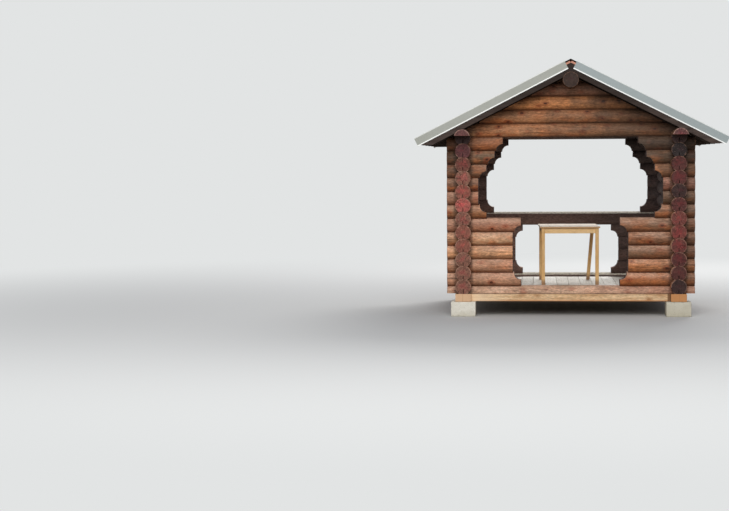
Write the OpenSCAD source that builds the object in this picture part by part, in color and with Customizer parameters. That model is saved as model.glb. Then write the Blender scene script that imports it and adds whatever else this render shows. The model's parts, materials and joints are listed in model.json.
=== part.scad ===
// Open log pavilion: notched round-log walls with scalloped openings, gable roof, plank floor and a table.
// Origin on the ground at the middle of the plan, front wall towards -Y, X to the right, Z up. Millimetres.

/* [Logs] */
// Diameter of every round log
log_d = 200; // [184:2:216]
// Height of one course, from seam to seam
course_h = 173; // [160:1:182]
// Clearance in every groove and saddle notch
log_fit = 0.3; // [0.2:0.1:1]
// Chamfer round the ends of the logs
end_chamfer = 5; // [2:1:10]
// Width of the relief kerf sawn along the underside of a log
kerf_w = 8; // [5:1:12]
// Distance of the kerf's top below the log's axis
kerf_top = 28; // [15:1:45]

/* [Plan] */
// Distance between the axes of the two side walls
span_x = 2720; // [2600:10:3200]
// Distance between the axes of the front and rear walls
span_y = 2720; // [2400:10:3200]
// How far the wall logs run past the wall axes
log_past = 210; // [160:10:260]

/* [Courses] */
// Full courses from the bottom half log to the top of the parapet
parapet_n = 5; // [4:1:6]
// Full courses from the parapet to the lintel log
window_n = 6; // [5:1:7]

/* [Openings] */
// Half the width of the doorway at its widest course
door_half = 728; // [650:5:780]
// Half the width of the front upper opening at its widest course
window_half = 1165; // [1120:5:1175]
// Half the width of the rear upper opening at its widest course
rear_window_half = 1137; // [1102:5:1172]
// Step of a course that stands proud of the next one round an opening
edge_step = 104; // [95:1:120]
// Radius of the coves cut in the stepped courses
cove_r = 90; // [60:1:95]

/* [Base] */
// Width of a foundation block across the front
block_w = 315; // [220:5:400]
// Length of a foundation block along the side beams
block_d = 320; // [200:5:400]
// Height of a foundation block above the ground
block_h = 190; // [100:5:300]
// Width of the base beams
beam_w = 200; // [150:5:240]
// Height of the base beams
beam_h = 100; // [80:5:150]
// How far the side beams run past the wall axes
beam_past = 212; // [180:2:260]

/* [Floor] */
// Height of the floor above the base beams
floor_up = 45; // [40:1:80]
// Thickness of the floor boards
floor_t = 28; // [20:1:40]
// Gap between the floor and the logs round it
floor_gap = 2; // [1:0.5:8]
// Width of a floor joist
joist_w = 50; // [40:5:70]
// Height of a floor joist
joist_h = 110; // [90:5:115]
// Number of floor joists
joist_n = 5; // [3:1:7]

/* [Roof] */
// Slope of the roof in degrees
roof_slope = 26.9; // [24:0.1:30]
// How far the roof runs past the front and rear wall axes
roof_past = 500; // [420:10:600]
// How far the roof reaches out from the side wall axes, measured level
eave_out = 600; // [480:10:700]
// How far the eave logs run past the front and rear wall axes
eave_past = 500; // [300:10:600]
// How far the ridge log runs past the front and rear wall axes
ridge_past = 500; // [300:10:600]
// Height of the flat under an eave log's long end, above the log's axis
eave_flat = 20; // [0:2:40]
// Width of a rafter
rafter_w = 50; // [40:5:70]
// Depth of a rafter, square to the slope
rafter_h = 120; // [100:5:150]
// Depth of the rafters' notches over the eave logs
eave_seat = 15; // [8:1:30]
// Depth of the rafters' notches over the ridge log
ridge_seat = 32; // [15:1:40]
// Height of a rafter's end above its level cut
tail_h = 47; // [30:1:70]
// Thickness of the roof boards
board_t = 25; // [18:1:32]

/* [Roof covering] */
// Thickness of the ribbed roof sheets
sheet_t = 2; // [1:0.5:3]
// Height of a rib of the roof sheets
rib_h = 18; // [12:1:25]
// Spacing of the ribs of the roof sheets
rib_pitch = 137.5; // [120:0.5:200]
// Width of a rib's flat top
rib_top = 32; // [20:1:40]
// Width of each sloping side of a rib, seen from above
rib_side = 14; // [8:1:20]
// How far the sheets and rake trims reach past the roof boards at the eaves
sheet_out = 30; // [10:2:60]
// Width of each wing of the ridge cap
cap_w = 150; // [100:5:200]

/* [Rake trims] */
// Height of a rake trim's face
trim_h = 100; // [80:2:120]
// Thickness of the trim and ridge metal
trim_t = 2; // [1:0.5:3]
// Height of a rake trim's raised edge above the ribs
trim_rise = 12; // [6:1:20]
// Width of a rake trim's raised edge
trim_hump = 25; // [15:1:40]
// Width of a rake trim's wing on the roof sheets
trim_wing = 45; // [30:1:70]
// Height of a rake trim's kicked-out bottom lip
lip_h = 12; // [8:1:18]
// How far the bottom lip kicks out
lip_out = 8; // [4:1:12]

/* [Table] */
// Width of the table top, left to right
table_w = 790; // [650:10:1000]
// Length of the table top, front to back
table_l = 1150; // [800:10:1300]
// Height of the table above the floor
table_h = 770; // [700:5:800]
// Thickness of the table top
top_t = 18; // [16:1:40]
// How far the table top overhangs its legs
top_over = 17; // [10:1:60]
// Side of a square table leg
leg_w = 46; // [36:1:70]
// How far the foot of the loose leg, at the rear right, leans inwards
leg_lean = 65; // [0:5:80]
// Height of the boards under the table top
apron_h = 70; // [50:1:100]
// Thickness of the boards under the table top
apron_t = 22; // [15:1:30]
// Distance of the table's middle behind the room's middle
table_y = 45; // [0:5:150]
// Turn of the table in degrees
table_turn = 1.5; // [0:0.5:4]

/* [Hidden] */
$fn = 96;
log_r = log_d / 2;
cut_r = log_r + log_fit;
half_x = span_x / 2;
half_y = span_y / 2;
end_x = half_x + log_past;
end_y = half_y + log_past;
roof_y = half_y + roof_past;
// Level of the base beams' tops, on which the half logs and the first side logs lie
base_z = block_h + beam_h;
course_n = parapet_n + window_n;
lintel_i = course_n + 1;
gable_n = 4;
floor_z = base_z + floor_up;
joist_z = floor_z - floor_t;
// Bigger than any log, for cutting tools
far = 4 * (span_x + span_y);

// Axis level of course i of the front and rear walls, where course 0 is the bottom half log
function front_z(i) = base_z + i * course_h;
// Axis level of course i of the side walls, which lie half a course lower
function side_z(i) = base_z + (i - 0.5) * course_h;

eave_z = side_z(lintel_i);
// Apex of the plane through the rafters' undersides
under_z = eave_z + half_x * tan(roof_slope) + (log_r - eave_seat) / cos(roof_slope);
ridge_z = under_z - (log_r - ridge_seat) / cos(roof_slope);
// Heights of the roof's layers above the rafters' undersides, square to the slope
board_h0 = rafter_h;
sheet_h0 = board_h0 + board_t;
crest_h = sheet_h0 + rib_h + sheet_t;
trim_top = crest_h + trim_rise;
// Length of the trims down the slope, so that their top corners end the roof
trim_len = (half_x + eave_out - trim_top * sin(roof_slope)) / cos(roof_slope);
board_len = trim_len - sheet_out;

// Point of the roof's cross-section, s down the right slope and h above the rafters' undersides
function slope_pt(s, h) =
    [s * cos(roof_slope) + h * sin(roof_slope), under_z - s * sin(roof_slope) + h * cos(roof_slope)];
// Distance down the slope at which a layer at height h meets the middle plane
function plumb_s(h) = -h * tan(roof_slope);

// Steps of the parapet courses from the bottom one up: proud at the top and bottom
function door_step(i, n) = (i == 1 || i == n) ? 1 : 0;
// Steps of the courses beside an upper opening: proud at the bottom, then an arch of three steps
function window_step(j) = j == 1 ? 1 : max(0, j - window_n + 3);
// A course has an upper or lower cove where the course above or below it is set further back
function cove_sides(step, below, above) = [step > below, step > above];

// Round bar along X from x0 to x1, at depth y and level z
module bar_x(r, x0, x1, y, z) {
    translate([x0, y, z])
        rotate([0, 90, 0])
            cylinder(r = r, h = x1 - x0);
}

// Round bar along Y from y0 to y1, at place x and level z
module bar_y(r, y0, y1, x, z) {
    translate([x, y0, z])
        rotate([-90, 0, 0])
            cylinder(r = r, h = y1 - y0);
}

// Log blank standing on its end, with both ends chamfered
module log_blank(length) {
    rotate_extrude()
        polygon([
            [0, 0],
            [log_r - end_chamfer, 0],
            [log_r, end_chamfer],
            [log_r, length - end_chamfer],
            [log_r - end_chamfer, length],
            [0, length]
        ]);
}

// Log blank along X from x0 to x1, at depth y and level z
module blank_x(x0, x1, y, z) {
    translate([x0, y, z])
        rotate([0, 90, 0])
            log_blank(x1 - x0);
}

// Log blank along Y from y0 to y1, at place x and level z
module blank_y(y0, y1, x, z) {
    translate([x, y0, z])
        rotate([-90, 0, 0])
            log_blank(y1 - y0);
}

// Everything above the rafters' undersides
module above_rafters() {
    reach = far * cos(roof_slope);
    drop = far * sin(roof_slope);
    rotate([90, 0, 0])
        linear_extrude(height = far, center = true)
            polygon([
                [0, under_z - log_fit],
                [reach, under_z - log_fit - drop],
                [reach, under_z + far],
                [-reach, under_z + far],
                [-reach, under_z - log_fit - drop]
            ]);
}

// Log of course i along the front wall's axis from x0 to x1, grooved over the course below it, with a
// relief kerf in the groove, notched over the side walls' logs and cut to the roof where it reaches it
module front_log(i, x0, x1) {
    z = front_z(i);
    outer = max(abs(x0), abs(x1));
    difference() {
        blank_x(x0, x1, -half_y, z);
        if (i > 0) {
            bar_x(cut_r, x0 - 1, x1 + 1, -half_y, z - course_h);
            // The short logs beside the ridge log have no kerf
            if (i < lintel_i + gable_n)
                translate([x0 - 1, -half_y - kerf_w / 2, z - log_d])
                    cube([x1 - x0 + 2, kerf_w, log_d - kerf_top]);
            for (side = [-1, 1])
                if (x0 - log_r < side * half_x && side * half_x < x1 + log_r)
                    bar_y(cut_r, -half_y - 2 * log_r, -half_y + 2 * log_r, side * half_x, z - course_h / 2);
        }
        else
            translate([-far / 2, -half_y - far / 2, base_z - far])
                cube(far);
        if (z + log_r > under_z - outer * tan(roof_slope))
            above_rafters();
    }
}

// Stub of a front log at the right of an opening, from the opening's edge outwards, with its coves
module jamb_log(i, edge, coves) {
    difference() {
        front_log(i, edge, end_x);
        if (coves[0])
            bar_y(cove_r, -half_y - 2 * log_r, -half_y + 2 * log_r, edge, front_z(i) - course_h / 2);
        if (coves[1])
            bar_y(cove_r, -half_y - 2 * log_r, -half_y + 2 * log_r, edge, front_z(i) + course_h / 2);
    }
}

// Every second course at the right of the front doorway and upper opening, from course first up
module front_jambs(first) {
    for (i = [first : 2 : course_n])
        if (i <= parapet_n)
            door_jamb(i, parapet_n);
        else
            window_jamb(i, window_half);
}

// Every second course at the right of the rear openings: the top parapet course is a rail of its own
module rear_jambs(first) {
    for (i = [first : 2 : course_n])
        if (i < parapet_n)
            door_jamb(i, parapet_n - 1);
        else if (i > parapet_n)
            window_jamb(i, rear_window_half);
}

// One course beside a lower opening that is n courses high
module door_jamb(i, n) {
    step = door_step(i, n);
    below = i > 1 ? door_step(i - 1, n) : step;
    above = i < n ? door_step(i + 1, n) : step;
    jamb_log(i, door_half - step * edge_step, cove_sides(step, below, above));
}

// One course beside an upper opening of the given half width
module window_jamb(i, half) {
    j = i - parapet_n;
    step = window_step(j);
    below = j > 1 ? window_step(j - 1) : step;
    above = j < window_n ? window_step(j + 1) : step;
    jamb_log(i, half - step * edge_step, cove_sides(step, below, above));
}

// Log of course i of the right wall, with its groove, kerf and notches over the crossing logs
module side_log(i) {
    z = side_z(i);
    difference() {
        if (i < lintel_i)
            blank_y(-end_y, end_y, half_x, z);
        else
            eave_blank(z);
        if (i > 1)
            bar_y(cut_r, -end_y - 1, end_y + 1, half_x, z - course_h);
        else
            translate([half_x - far / 2, -far / 2, base_z - far])
                cube(far);
        translate([half_x - kerf_w / 2, -end_y - 1, z - log_d])
            cube([kerf_w, 2 * end_y + 2, log_d - kerf_top]);
        for (side = [-1, 1])
            bar_x(cut_r, half_x - 2 * log_r, half_x + 2 * log_r, side * half_y, z - course_h / 2);
    }
}

// The top log of the right wall before its notches: above a flat it runs on to carry the roof's ends
module eave_blank(z) {
    difference() {
        blank_y(-half_y - eave_past, half_y + eave_past, half_x, z);
        for (side = [-1, 1])
            translate([half_x, side * (end_y + far / 2), z + eave_flat - far / 2])
                cube(far, center = true);
    }
}

// Every second log of the right wall below its eave log
module side_courses(first) {
    for (i = [first : 2 : course_n])
        side_log(i);
}

// Every second log of the front gable above its lintel log, cut round the ridge log
module gable_courses(first) {
    for (k = [first : 2 : gable_n])
        difference() {
            front_log(lintel_i + k, -half_x + 2 * log_r, half_x - 2 * log_r);
            bar_y(cut_r, -roof_y, 0, 0, ridge_z);
        }
}

// Right half of the roof's cross-section between two heights, plumb at the ridge and square at the eave
module roof_layer(h0, h1, s1, y0, y1) {
    translate([0, y1, 0])
        rotate([90, 0, 0])
            linear_extrude(height = y1 - y0)
                polygon([
                    slope_pt(plumb_s(h0), h0),
                    slope_pt(s1, h0),
                    slope_pt(s1, h1),
                    slope_pt(plumb_s(h1), h1)
                ]);
}

// One right rafter whose middle is at depth y: notched over the ridge and eave logs, its tail cut level
module rafter(y) {
    tail_z = slope_pt(board_len, rafter_h)[1] - tail_h;
    difference() {
        roof_layer(0, rafter_h, board_len, y - rafter_w / 2, y + rafter_w / 2);
        bar_y(cut_r, y - rafter_w, y + rafter_w, 0, ridge_z);
        bar_y(cut_r, y - rafter_w, y + rafter_w, half_x, eave_z);
        translate([half_x + cut_r, y - rafter_w, tail_z - far])
            cube(far);
    }
}

// Rafters of the right slope: at the roof's ends, over the gables, and two bays between those
module rafters() {
    barge_y = roof_y - rafter_w / 2;
    for (y = [-barge_y, -half_y, -half_y / 2, 0, half_y / 2, half_y, barge_y])
        rafter(y);
}

// Extrudes a profile down the right slope, with its first coordinate the height above the rafters'
// undersides and its second the depth
module down_slope(s0, s1) {
    translate([slope_pt(s0, 0)[0], 0, slope_pt(s0, 0)[1]])
        rotate([0, 90 + roof_slope, 0])
            linear_extrude(height = s1 - s0)
                mirror([1, 0])
                    children();
}

// Ribbed sheet over the right slope
module roof_sheet() {
    rib_n = floor((2 * roof_y - 4 * rib_side - rib_top) / rib_pitch) + 1;
    first_y = -(rib_n - 1) * rib_pitch / 2;
    half_top = rib_top / 2;
    half_foot = half_top + rib_side;
    edge_y = roof_y - trim_t;
    path = concat(
        [[0, -edge_y]],
        [
            for (k = [0 : rib_n - 1])
                for (p = [[0, -half_foot], [rib_h, -half_top], [rib_h, half_top], [0, half_foot]])
                    [p[0], first_y + k * rib_pitch + p[1]]
        ],
        [[0, edge_y]]
    );
    last = len(path) - 1;
    upper = [for (k = [last : -1 : 0]) path[k] + [sheet_t, 0]];
    down_slope(0, trim_len)
        translate([sheet_h0, 0])
            polygon(concat(path, upper));
}

// Bent metal rake trim on the front end of the right slope
module rake_trim() {
    foot = trim_top - trim_h;
    down_slope(0, trim_len)
        union() {
            // Face on the end rafter
            translate([foot, -roof_y - trim_t])
                square([trim_h, trim_t]);
            // Raised edge and its inner side
            translate([trim_top - trim_t, -roof_y - trim_t])
                square([trim_t, trim_hump + trim_t]);
            translate([crest_h, -roof_y + trim_hump - trim_t])
                square([trim_top - crest_h, trim_t]);
            // Wing on the ribs of the roof sheet
            translate([crest_h, -roof_y + trim_hump - trim_t])
                square([trim_t, trim_wing + trim_t]);
            // Bottom lip, kicked out from the foot of the face
            polygon([
                [foot, -roof_y],
                [foot - lip_h, -roof_y - lip_out],
                [foot - lip_h, -roof_y - trim_t - lip_out],
                [foot, -roof_y - trim_t],
                [foot + trim_t, -roof_y - trim_t],
                [foot + trim_t, -roof_y]
            ]);
        }
}

// Draws its children again on the left side
module left_side() {
    mirror([1, 0, 0])
        children();
}

// Draws its children again at the rear
module rear_side() {
    mirror([0, 1, 0])
        children();
}

// Places its children where the table stands, with their zero at the middle of the table on the floor
module at_table() {
    translate([0, table_y, floor_z])
        rotate([0, 0, table_turn])
            children();
}

// Table leg whose top is at a corner of the table, its foot leaning to the left
module table_leg(x, y, lean) {
    translate([x, y + leg_w / 2, 0])
        rotate([90, 0, 0])
            linear_extrude(height = leg_w)
                polygon([
                    [-leg_w / 2 - lean, 0],
                    [leg_w / 2 - lean, 0],
                    [leg_w / 2, under_top],
                    [-leg_w / 2, under_top]
                ]);
}

leg_x = table_w / 2 - top_over - leg_w / 2;
leg_y = table_l / 2 - top_over - leg_w / 2;
under_top = table_h - top_t;

module foundation_blocks() {
    block_y = half_y + beam_past - block_d / 2;
    color("gainsboro")
        for (x = [-half_x, half_x])
            for (y = [-block_y, block_y])
                translate([x - block_w / 2, y - block_d / 2, 0])
                    cube([block_w, block_d, block_h]);
}

module base_beam_right() {
    color("burlywood")
        translate([half_x - beam_w / 2, -half_y - beam_past, block_h])
            cube([beam_w, 2 * (half_y + beam_past), beam_h]);
}

module base_beam_front() {
    inner_x = half_x - beam_w / 2;
    color("burlywood")
        translate([-inner_x, -half_y - beam_w / 2, block_h])
            cube([2 * inner_x, beam_w, beam_h]);
}

module floor_joists() {
    inner_x = half_x - beam_w / 2;
    last_y = half_y - beam_w / 2 - joist_w;
    gap_y = 2 * last_y / (joist_n - 1);
    color("tan")
        for (k = [0 : joist_n - 1])
            translate([-inner_x, -last_y + k * gap_y - joist_w / 2, joist_z - joist_h])
                cube([2 * inner_x, joist_w, joist_h]);
}

module floor_deck() {
    deck_x = half_x - log_r - floor_gap;
    rise = joist_z - base_z;
    deck_y = half_y - sqrt(log_r * log_r - rise * rise) - floor_gap;
    color("lightgray")
        translate([-deck_x, -deck_y, joist_z])
            cube([2 * deck_x, 2 * deck_y, floor_t]);
}

module front_sill_log() {
    color("peru")
        front_log(0, -end_x, end_x);
}

module front_right_odd_courses() {
    color("chocolate")
        front_jambs(1);
}

module front_right_even_courses() {
    color("sienna")
        front_jambs(2);
}

module rear_right_odd_courses() {
    color("chocolate")
        rear_side() rear_jambs(1);
}

module rear_right_even_courses() {
    color("sienna")
        rear_side() rear_jambs(2);
}

module rear_rail_log() {
    color("saddlebrown")
        rear_side() front_log(parapet_n, -end_x, end_x);
}

module right_wall_odd_courses() {
    color("sienna")
        side_courses(1);
}

module right_wall_even_courses() {
    color("chocolate")
        side_courses(2);
}

module right_eave_log() {
    color("sienna")
        side_log(lintel_i);
}

module front_lintel_log() {
    color("peru")
        front_log(lintel_i, -half_x, half_x);
}

module front_gable_odd_courses() {
    color("peru")
        gable_courses(1);
}

module front_gable_even_courses() {
    color("chocolate")
        gable_courses(2);
}

module ridge_log() {
    color("saddlebrown")
        blank_y(-half_y - ridge_past, half_y + ridge_past, 0, ridge_z);
}

module right_rafters() {
    color("saddlebrown")
        rafters();
}

module right_roof_boards() {
    color("burlywood")
        roof_layer(board_h0, board_h0 + board_t, board_len, -roof_y, roof_y);
}

module right_roof_sheet() {
    color("dimgray")
        roof_sheet();
}

module ridge_cap() {
    cap_y = roof_y - trim_hump - trim_wing - trim_t;
    inner_z = under_z + crest_h / cos(roof_slope);
    outer_z = inner_z + trim_t / cos(roof_slope);
    wing_in = slope_pt(cap_w, crest_h);
    wing_out = slope_pt(cap_w, crest_h + trim_t);
    color("darkgray")
        rotate([90, 0, 0])
            linear_extrude(height = 2 * cap_y, center = true)
                polygon([
                    [0, inner_z],
                    wing_in,
                    wing_out,
                    [0, outer_z],
                    [-wing_out[0], wing_out[1]],
                    [-wing_in[0], wing_in[1]]
                ]);
}

module front_right_rake_trim() {
    color("silver")
        rake_trim();
}

module table_top() {
    color("wheat")
        at_table()
            translate([-table_w / 2, -table_l / 2, under_top])
                cube([table_w, table_l, top_t]);
}

module table_aprons() {
    color("goldenrod")
        at_table()
            difference() {
                for (side = [-1, 1]) {
                    translate([-leg_x + leg_w / 2, side * leg_y - apron_t / 2, under_top - apron_h])
                        cube([2 * leg_x - leg_w, apron_t, apron_h]);
                    translate([side * leg_x - apron_t / 2, -leg_y + leg_w / 2, under_top - apron_h])
                        cube([apron_t, 2 * leg_y - leg_w, apron_h]);
                }
                table_leg(leg_x, leg_y, leg_lean);
            }
}

module table_legs() {
    color("goldenrod")
        at_table()
            for (x = [-leg_x, leg_x])
                for (y = [-leg_y, leg_y])
                    table_leg(x, y, x > 0 && y > 0 ? leg_lean : 0);
}

foundation_blocks();
left_side() base_beam_right();  // base_beam_left
base_beam_right();
base_beam_front();
rear_side() base_beam_front();  // base_beam_rear
floor_joists();
floor_deck();
front_sill_log();
rear_side() front_sill_log();  // rear_sill_log
left_side() front_right_odd_courses();  // front_left_odd_courses
left_side() front_right_even_courses();  // front_left_even_courses
front_right_odd_courses();
front_right_even_courses();
left_side() rear_right_odd_courses();  // rear_left_odd_courses
left_side() rear_right_even_courses();  // rear_left_even_courses
rear_right_odd_courses();
rear_right_even_courses();
rear_rail_log();
left_side() right_wall_odd_courses();  // left_wall_odd_courses
left_side() right_wall_even_courses();  // left_wall_even_courses
right_wall_odd_courses();
right_wall_even_courses();
left_side() right_eave_log();  // left_eave_log
right_eave_log();
front_lintel_log();
rear_side() front_lintel_log();  // rear_lintel_log
front_gable_odd_courses();
front_gable_even_courses();
rear_side() front_gable_odd_courses();  // rear_gable_odd_courses
rear_side() front_gable_even_courses();  // rear_gable_even_courses
ridge_log();
left_side() right_rafters();  // left_rafters
right_rafters();
left_side() right_roof_boards();  // left_roof_boards
right_roof_boards();
left_side() right_roof_sheet();  // left_roof_sheet
right_roof_sheet();
ridge_cap();
left_side() front_right_rake_trim();  // front_left_rake_trim
front_right_rake_trim();
rear_side() left_side() front_right_rake_trim();  // rear_left_rake_trim
rear_side() front_right_rake_trim();  // rear_right_rake_trim
table_top();
table_aprons();
table_legs();
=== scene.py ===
"""Finishes and repeated fittings of an open log pavilion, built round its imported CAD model.

The logs, rafters, sheets and trims are the CAD model's own nodes with procedural finishes. The floor boards, roof
boards, table planks and fasteners are made here with Geometry Nodes, and timbers and blocks get eased edges.
All sizes are in metres, in the CAD model's frame: X to the right, the front wall towards -Y, Z up.
"""

import json
import logging
import math
from collections.abc import Iterable
from dataclasses import dataclass, field, replace
from enum import Enum
from functools import cached_property

import bmesh
import bpy
from bpy.types import ID, Material, Mesh, Node, NodeSocket, NodeTree, Object
from mathutils import Matrix, Vector, noise

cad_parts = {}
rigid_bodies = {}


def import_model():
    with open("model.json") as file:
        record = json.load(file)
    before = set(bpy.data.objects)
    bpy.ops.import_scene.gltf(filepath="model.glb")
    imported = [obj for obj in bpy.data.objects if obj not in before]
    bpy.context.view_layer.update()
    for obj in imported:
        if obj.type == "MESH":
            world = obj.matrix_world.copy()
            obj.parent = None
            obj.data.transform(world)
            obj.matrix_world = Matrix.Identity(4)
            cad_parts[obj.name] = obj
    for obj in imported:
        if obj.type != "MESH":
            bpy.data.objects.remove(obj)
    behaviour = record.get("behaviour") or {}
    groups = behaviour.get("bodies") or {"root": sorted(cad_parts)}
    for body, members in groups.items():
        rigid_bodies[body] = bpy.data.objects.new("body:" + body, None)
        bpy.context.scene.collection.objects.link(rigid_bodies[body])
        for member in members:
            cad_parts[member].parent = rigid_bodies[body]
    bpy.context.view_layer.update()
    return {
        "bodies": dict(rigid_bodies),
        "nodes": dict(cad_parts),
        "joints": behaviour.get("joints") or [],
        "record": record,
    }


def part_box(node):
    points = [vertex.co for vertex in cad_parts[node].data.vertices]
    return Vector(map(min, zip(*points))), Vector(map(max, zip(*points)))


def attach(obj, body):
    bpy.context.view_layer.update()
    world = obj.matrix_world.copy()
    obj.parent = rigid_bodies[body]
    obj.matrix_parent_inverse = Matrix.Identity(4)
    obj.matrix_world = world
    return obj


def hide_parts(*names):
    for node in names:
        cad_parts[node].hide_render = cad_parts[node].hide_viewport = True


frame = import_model()

LOG = logging.getLogger("pavilion")
ROOT = "root"
ORIGIN = (0.0, 0.0, 0.0)
BOARD_TONE = "board_tone"  # the attribute with each board's own tone
TINY = 1e-5
FLAT = math.radians(1)  # faces that meet at less than this are one face
SHARP = math.radians(30)  # edges sharper than this are eased

Rgb = tuple[int, int, int]
Rgba = tuple[float, float, float, float]
Triple = tuple[float, float, float]
Pair = tuple[float, float]  # where a change starts and where it is full
Span = tuple[float, float, float]  # the same, and its share where it is full
Coats = tuple[tuple[str, float, Rgb], ...]  # names of marks, each with its share and its tone
Swells = tuple[tuple[str, float], ...]  # names of marks, each with its height
Inputs = dict[str, object] | tuple[object, ...]  # what feeds a node, by name or in order


def linear(colour: Rgb) -> Rgba:
    """Turns a display colour into the linear one that shaders take.

    Args:
        colour: Red, green and blue, each 0 to 255 as a display shows them.

    Returns:
        The same colour as linear red, green, blue and a full alpha.
    """
    parts = (c / 255 for c in colour)
    red, green, blue = (c / 12.92 if c <= 0.04045 else ((c + 0.055) / 1.055) ** 2.4 for c in parts)
    return (red, green, blue, 1.0)


def placed(name: str, data: ID) -> Object:
    """Makes an object of a mesh, lamp or camera, and links it to the scene.

    Args:
        name: The object's name.
        data: The mesh, lamp or camera.

    Returns:
        The object.
    """
    thing = bpy.data.objects.new(name, data)
    bpy.context.scene.collection.objects.link(thing)
    return thing


class Run(Enum):
    """The direction in which the grain of a log or board runs: the order of its own axes in the model's."""

    ALONG_X = ("X", "Y", "Z")
    ALONG_Y = ("Y", "X", "Z")
    ALONG_Z = ("Z", "X", "Y")


class Stain(Enum):
    """Stains that the weather has left on the logs. The darker ones on the right-hand logs and at the top of the
    gables are partly painted shade.
    """

    PALE = (226, 182, 150)
    SHELL = (218, 160, 126)
    SAND = (232, 180, 138)
    APRICOT = (252, 184, 134)
    SAFFRON = (244, 162, 102)
    AMBER = (212, 136, 86)
    HONEY = (194, 116, 68)
    ROSE = (192, 134, 106)
    CLAY = (182, 118, 98)
    TAWNY = (200, 138, 95)
    GINGER = (182, 118, 75)
    COPPER = (162, 99, 62)
    UMBER = (150, 104, 76)
    CHESTNUT = (134, 90, 64)
    OLIVE = (108, 82, 58)
    WALNUT = (92, 70, 58)
    EBONY = (64, 46, 37)


class EndPaint(Enum):
    """Paint on the logs' sawn ends. The near-black one is painted shadow, and the darker ones on the right-hand ends
    are partly painted shade.
    """

    COCOA = (126, 86, 70)
    BRICK = (131, 80, 65)
    CORAL = (158, 88, 77)
    RUST = (104, 63, 51)
    GARNET = (108, 58, 50)
    ORCHID = (98, 62, 59)
    PLUM = (88, 48, 48)
    MAROON = (98, 51, 44)
    WINE = (80, 42, 37)
    DUSK = (56, 36, 33)
    # Painted shadow, near-black.
    SOOT = (36, 27, 26)
    BARK = (50, 34, 26)


class Inside(Enum):
    """Painted shade on the logs inside the room, a tone for the left and one for the right side of it."""

    ENDS = ((128, 104, 98), (98, 84, 82))
    REAR = ((126, 102, 94), (86, 73, 70))
    SIDES = ((140, 114, 112), (97, 87, 88))


@dataclass(frozen=True)
class LogSizes:
    """Sizes of the logs, as the CAD model has them."""

    radius: float = 0.100
    course: float = 0.173
    base: float = 0.290
    half_x: float = 1.360
    half_y: float = 1.360
    end: float = 1.570
    kerf: float = 0.008
    kerf_top: float = -0.027
    chamfer: float = 0.005
    roof_under: float = 3.0648
    roof_slope: float = math.radians(26.9)

    def front_level(self, course: int) -> float:
        """Level of the axis of a course of the front and rear walls."""
        return self.base + course * self.course

    def side_level(self, course: int) -> float:
        """Level of the axis of a course of the side walls, which lie half a course lower."""
        return self.base + (course - 0.5) * self.course


LOGS = LogSizes()


def pick(sockets: Iterable[NodeSocket], name: str = "") -> NodeSocket:
    """Finds the first socket in use, or the first one in use that has a name or identifier."""
    return next(s for s in sockets if s.enabled and (not name or name in (s.name, s.identifier)))


class Value:
    """One output of a node. A sum on it adds a Math node to the same tree."""

    def __init__(self, nodes: "Nodes", socket: NodeSocket) -> None:
        """Keeps the output, and the nodes that it is one of."""
        self.nodes, self.socket = nodes, socket

    def __add__(self, other: object) -> "Value":
        """Adds a value or number."""
        return self.nodes.math("ADD", self, other)

    def __sub__(self, other: object) -> "Value":
        """Takes a value or number away."""
        return self.nodes.math("SUBTRACT", self, other)

    def __rsub__(self, other: object) -> "Value":
        """Takes this away from a number."""
        return self.nodes.math("SUBTRACT", other, self)

    def __mul__(self, other: object) -> "Value":
        """Multiplies by a value or number."""
        return self.nodes.math("MULTIPLY", self, other)

    def __truediv__(self, other: object) -> "Value":
        """Divides by a value or number."""
        return self.nodes.math("DIVIDE", self, other)

    def __abs__(self) -> "Value":
        """Drops the sign."""
        return self.nodes.math("ABSOLUTE", self)

    def __lt__(self, other: object) -> "Value":
        """1 where this is less, and 0 elsewhere."""
        return self.nodes.math("LESS_THAN", self, other)

    def __gt__(self, other: object) -> "Value":
        """1 where this is more, and 0 elsewhere."""
        return self.nodes.math("GREATER_THAN", self, other)


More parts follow.
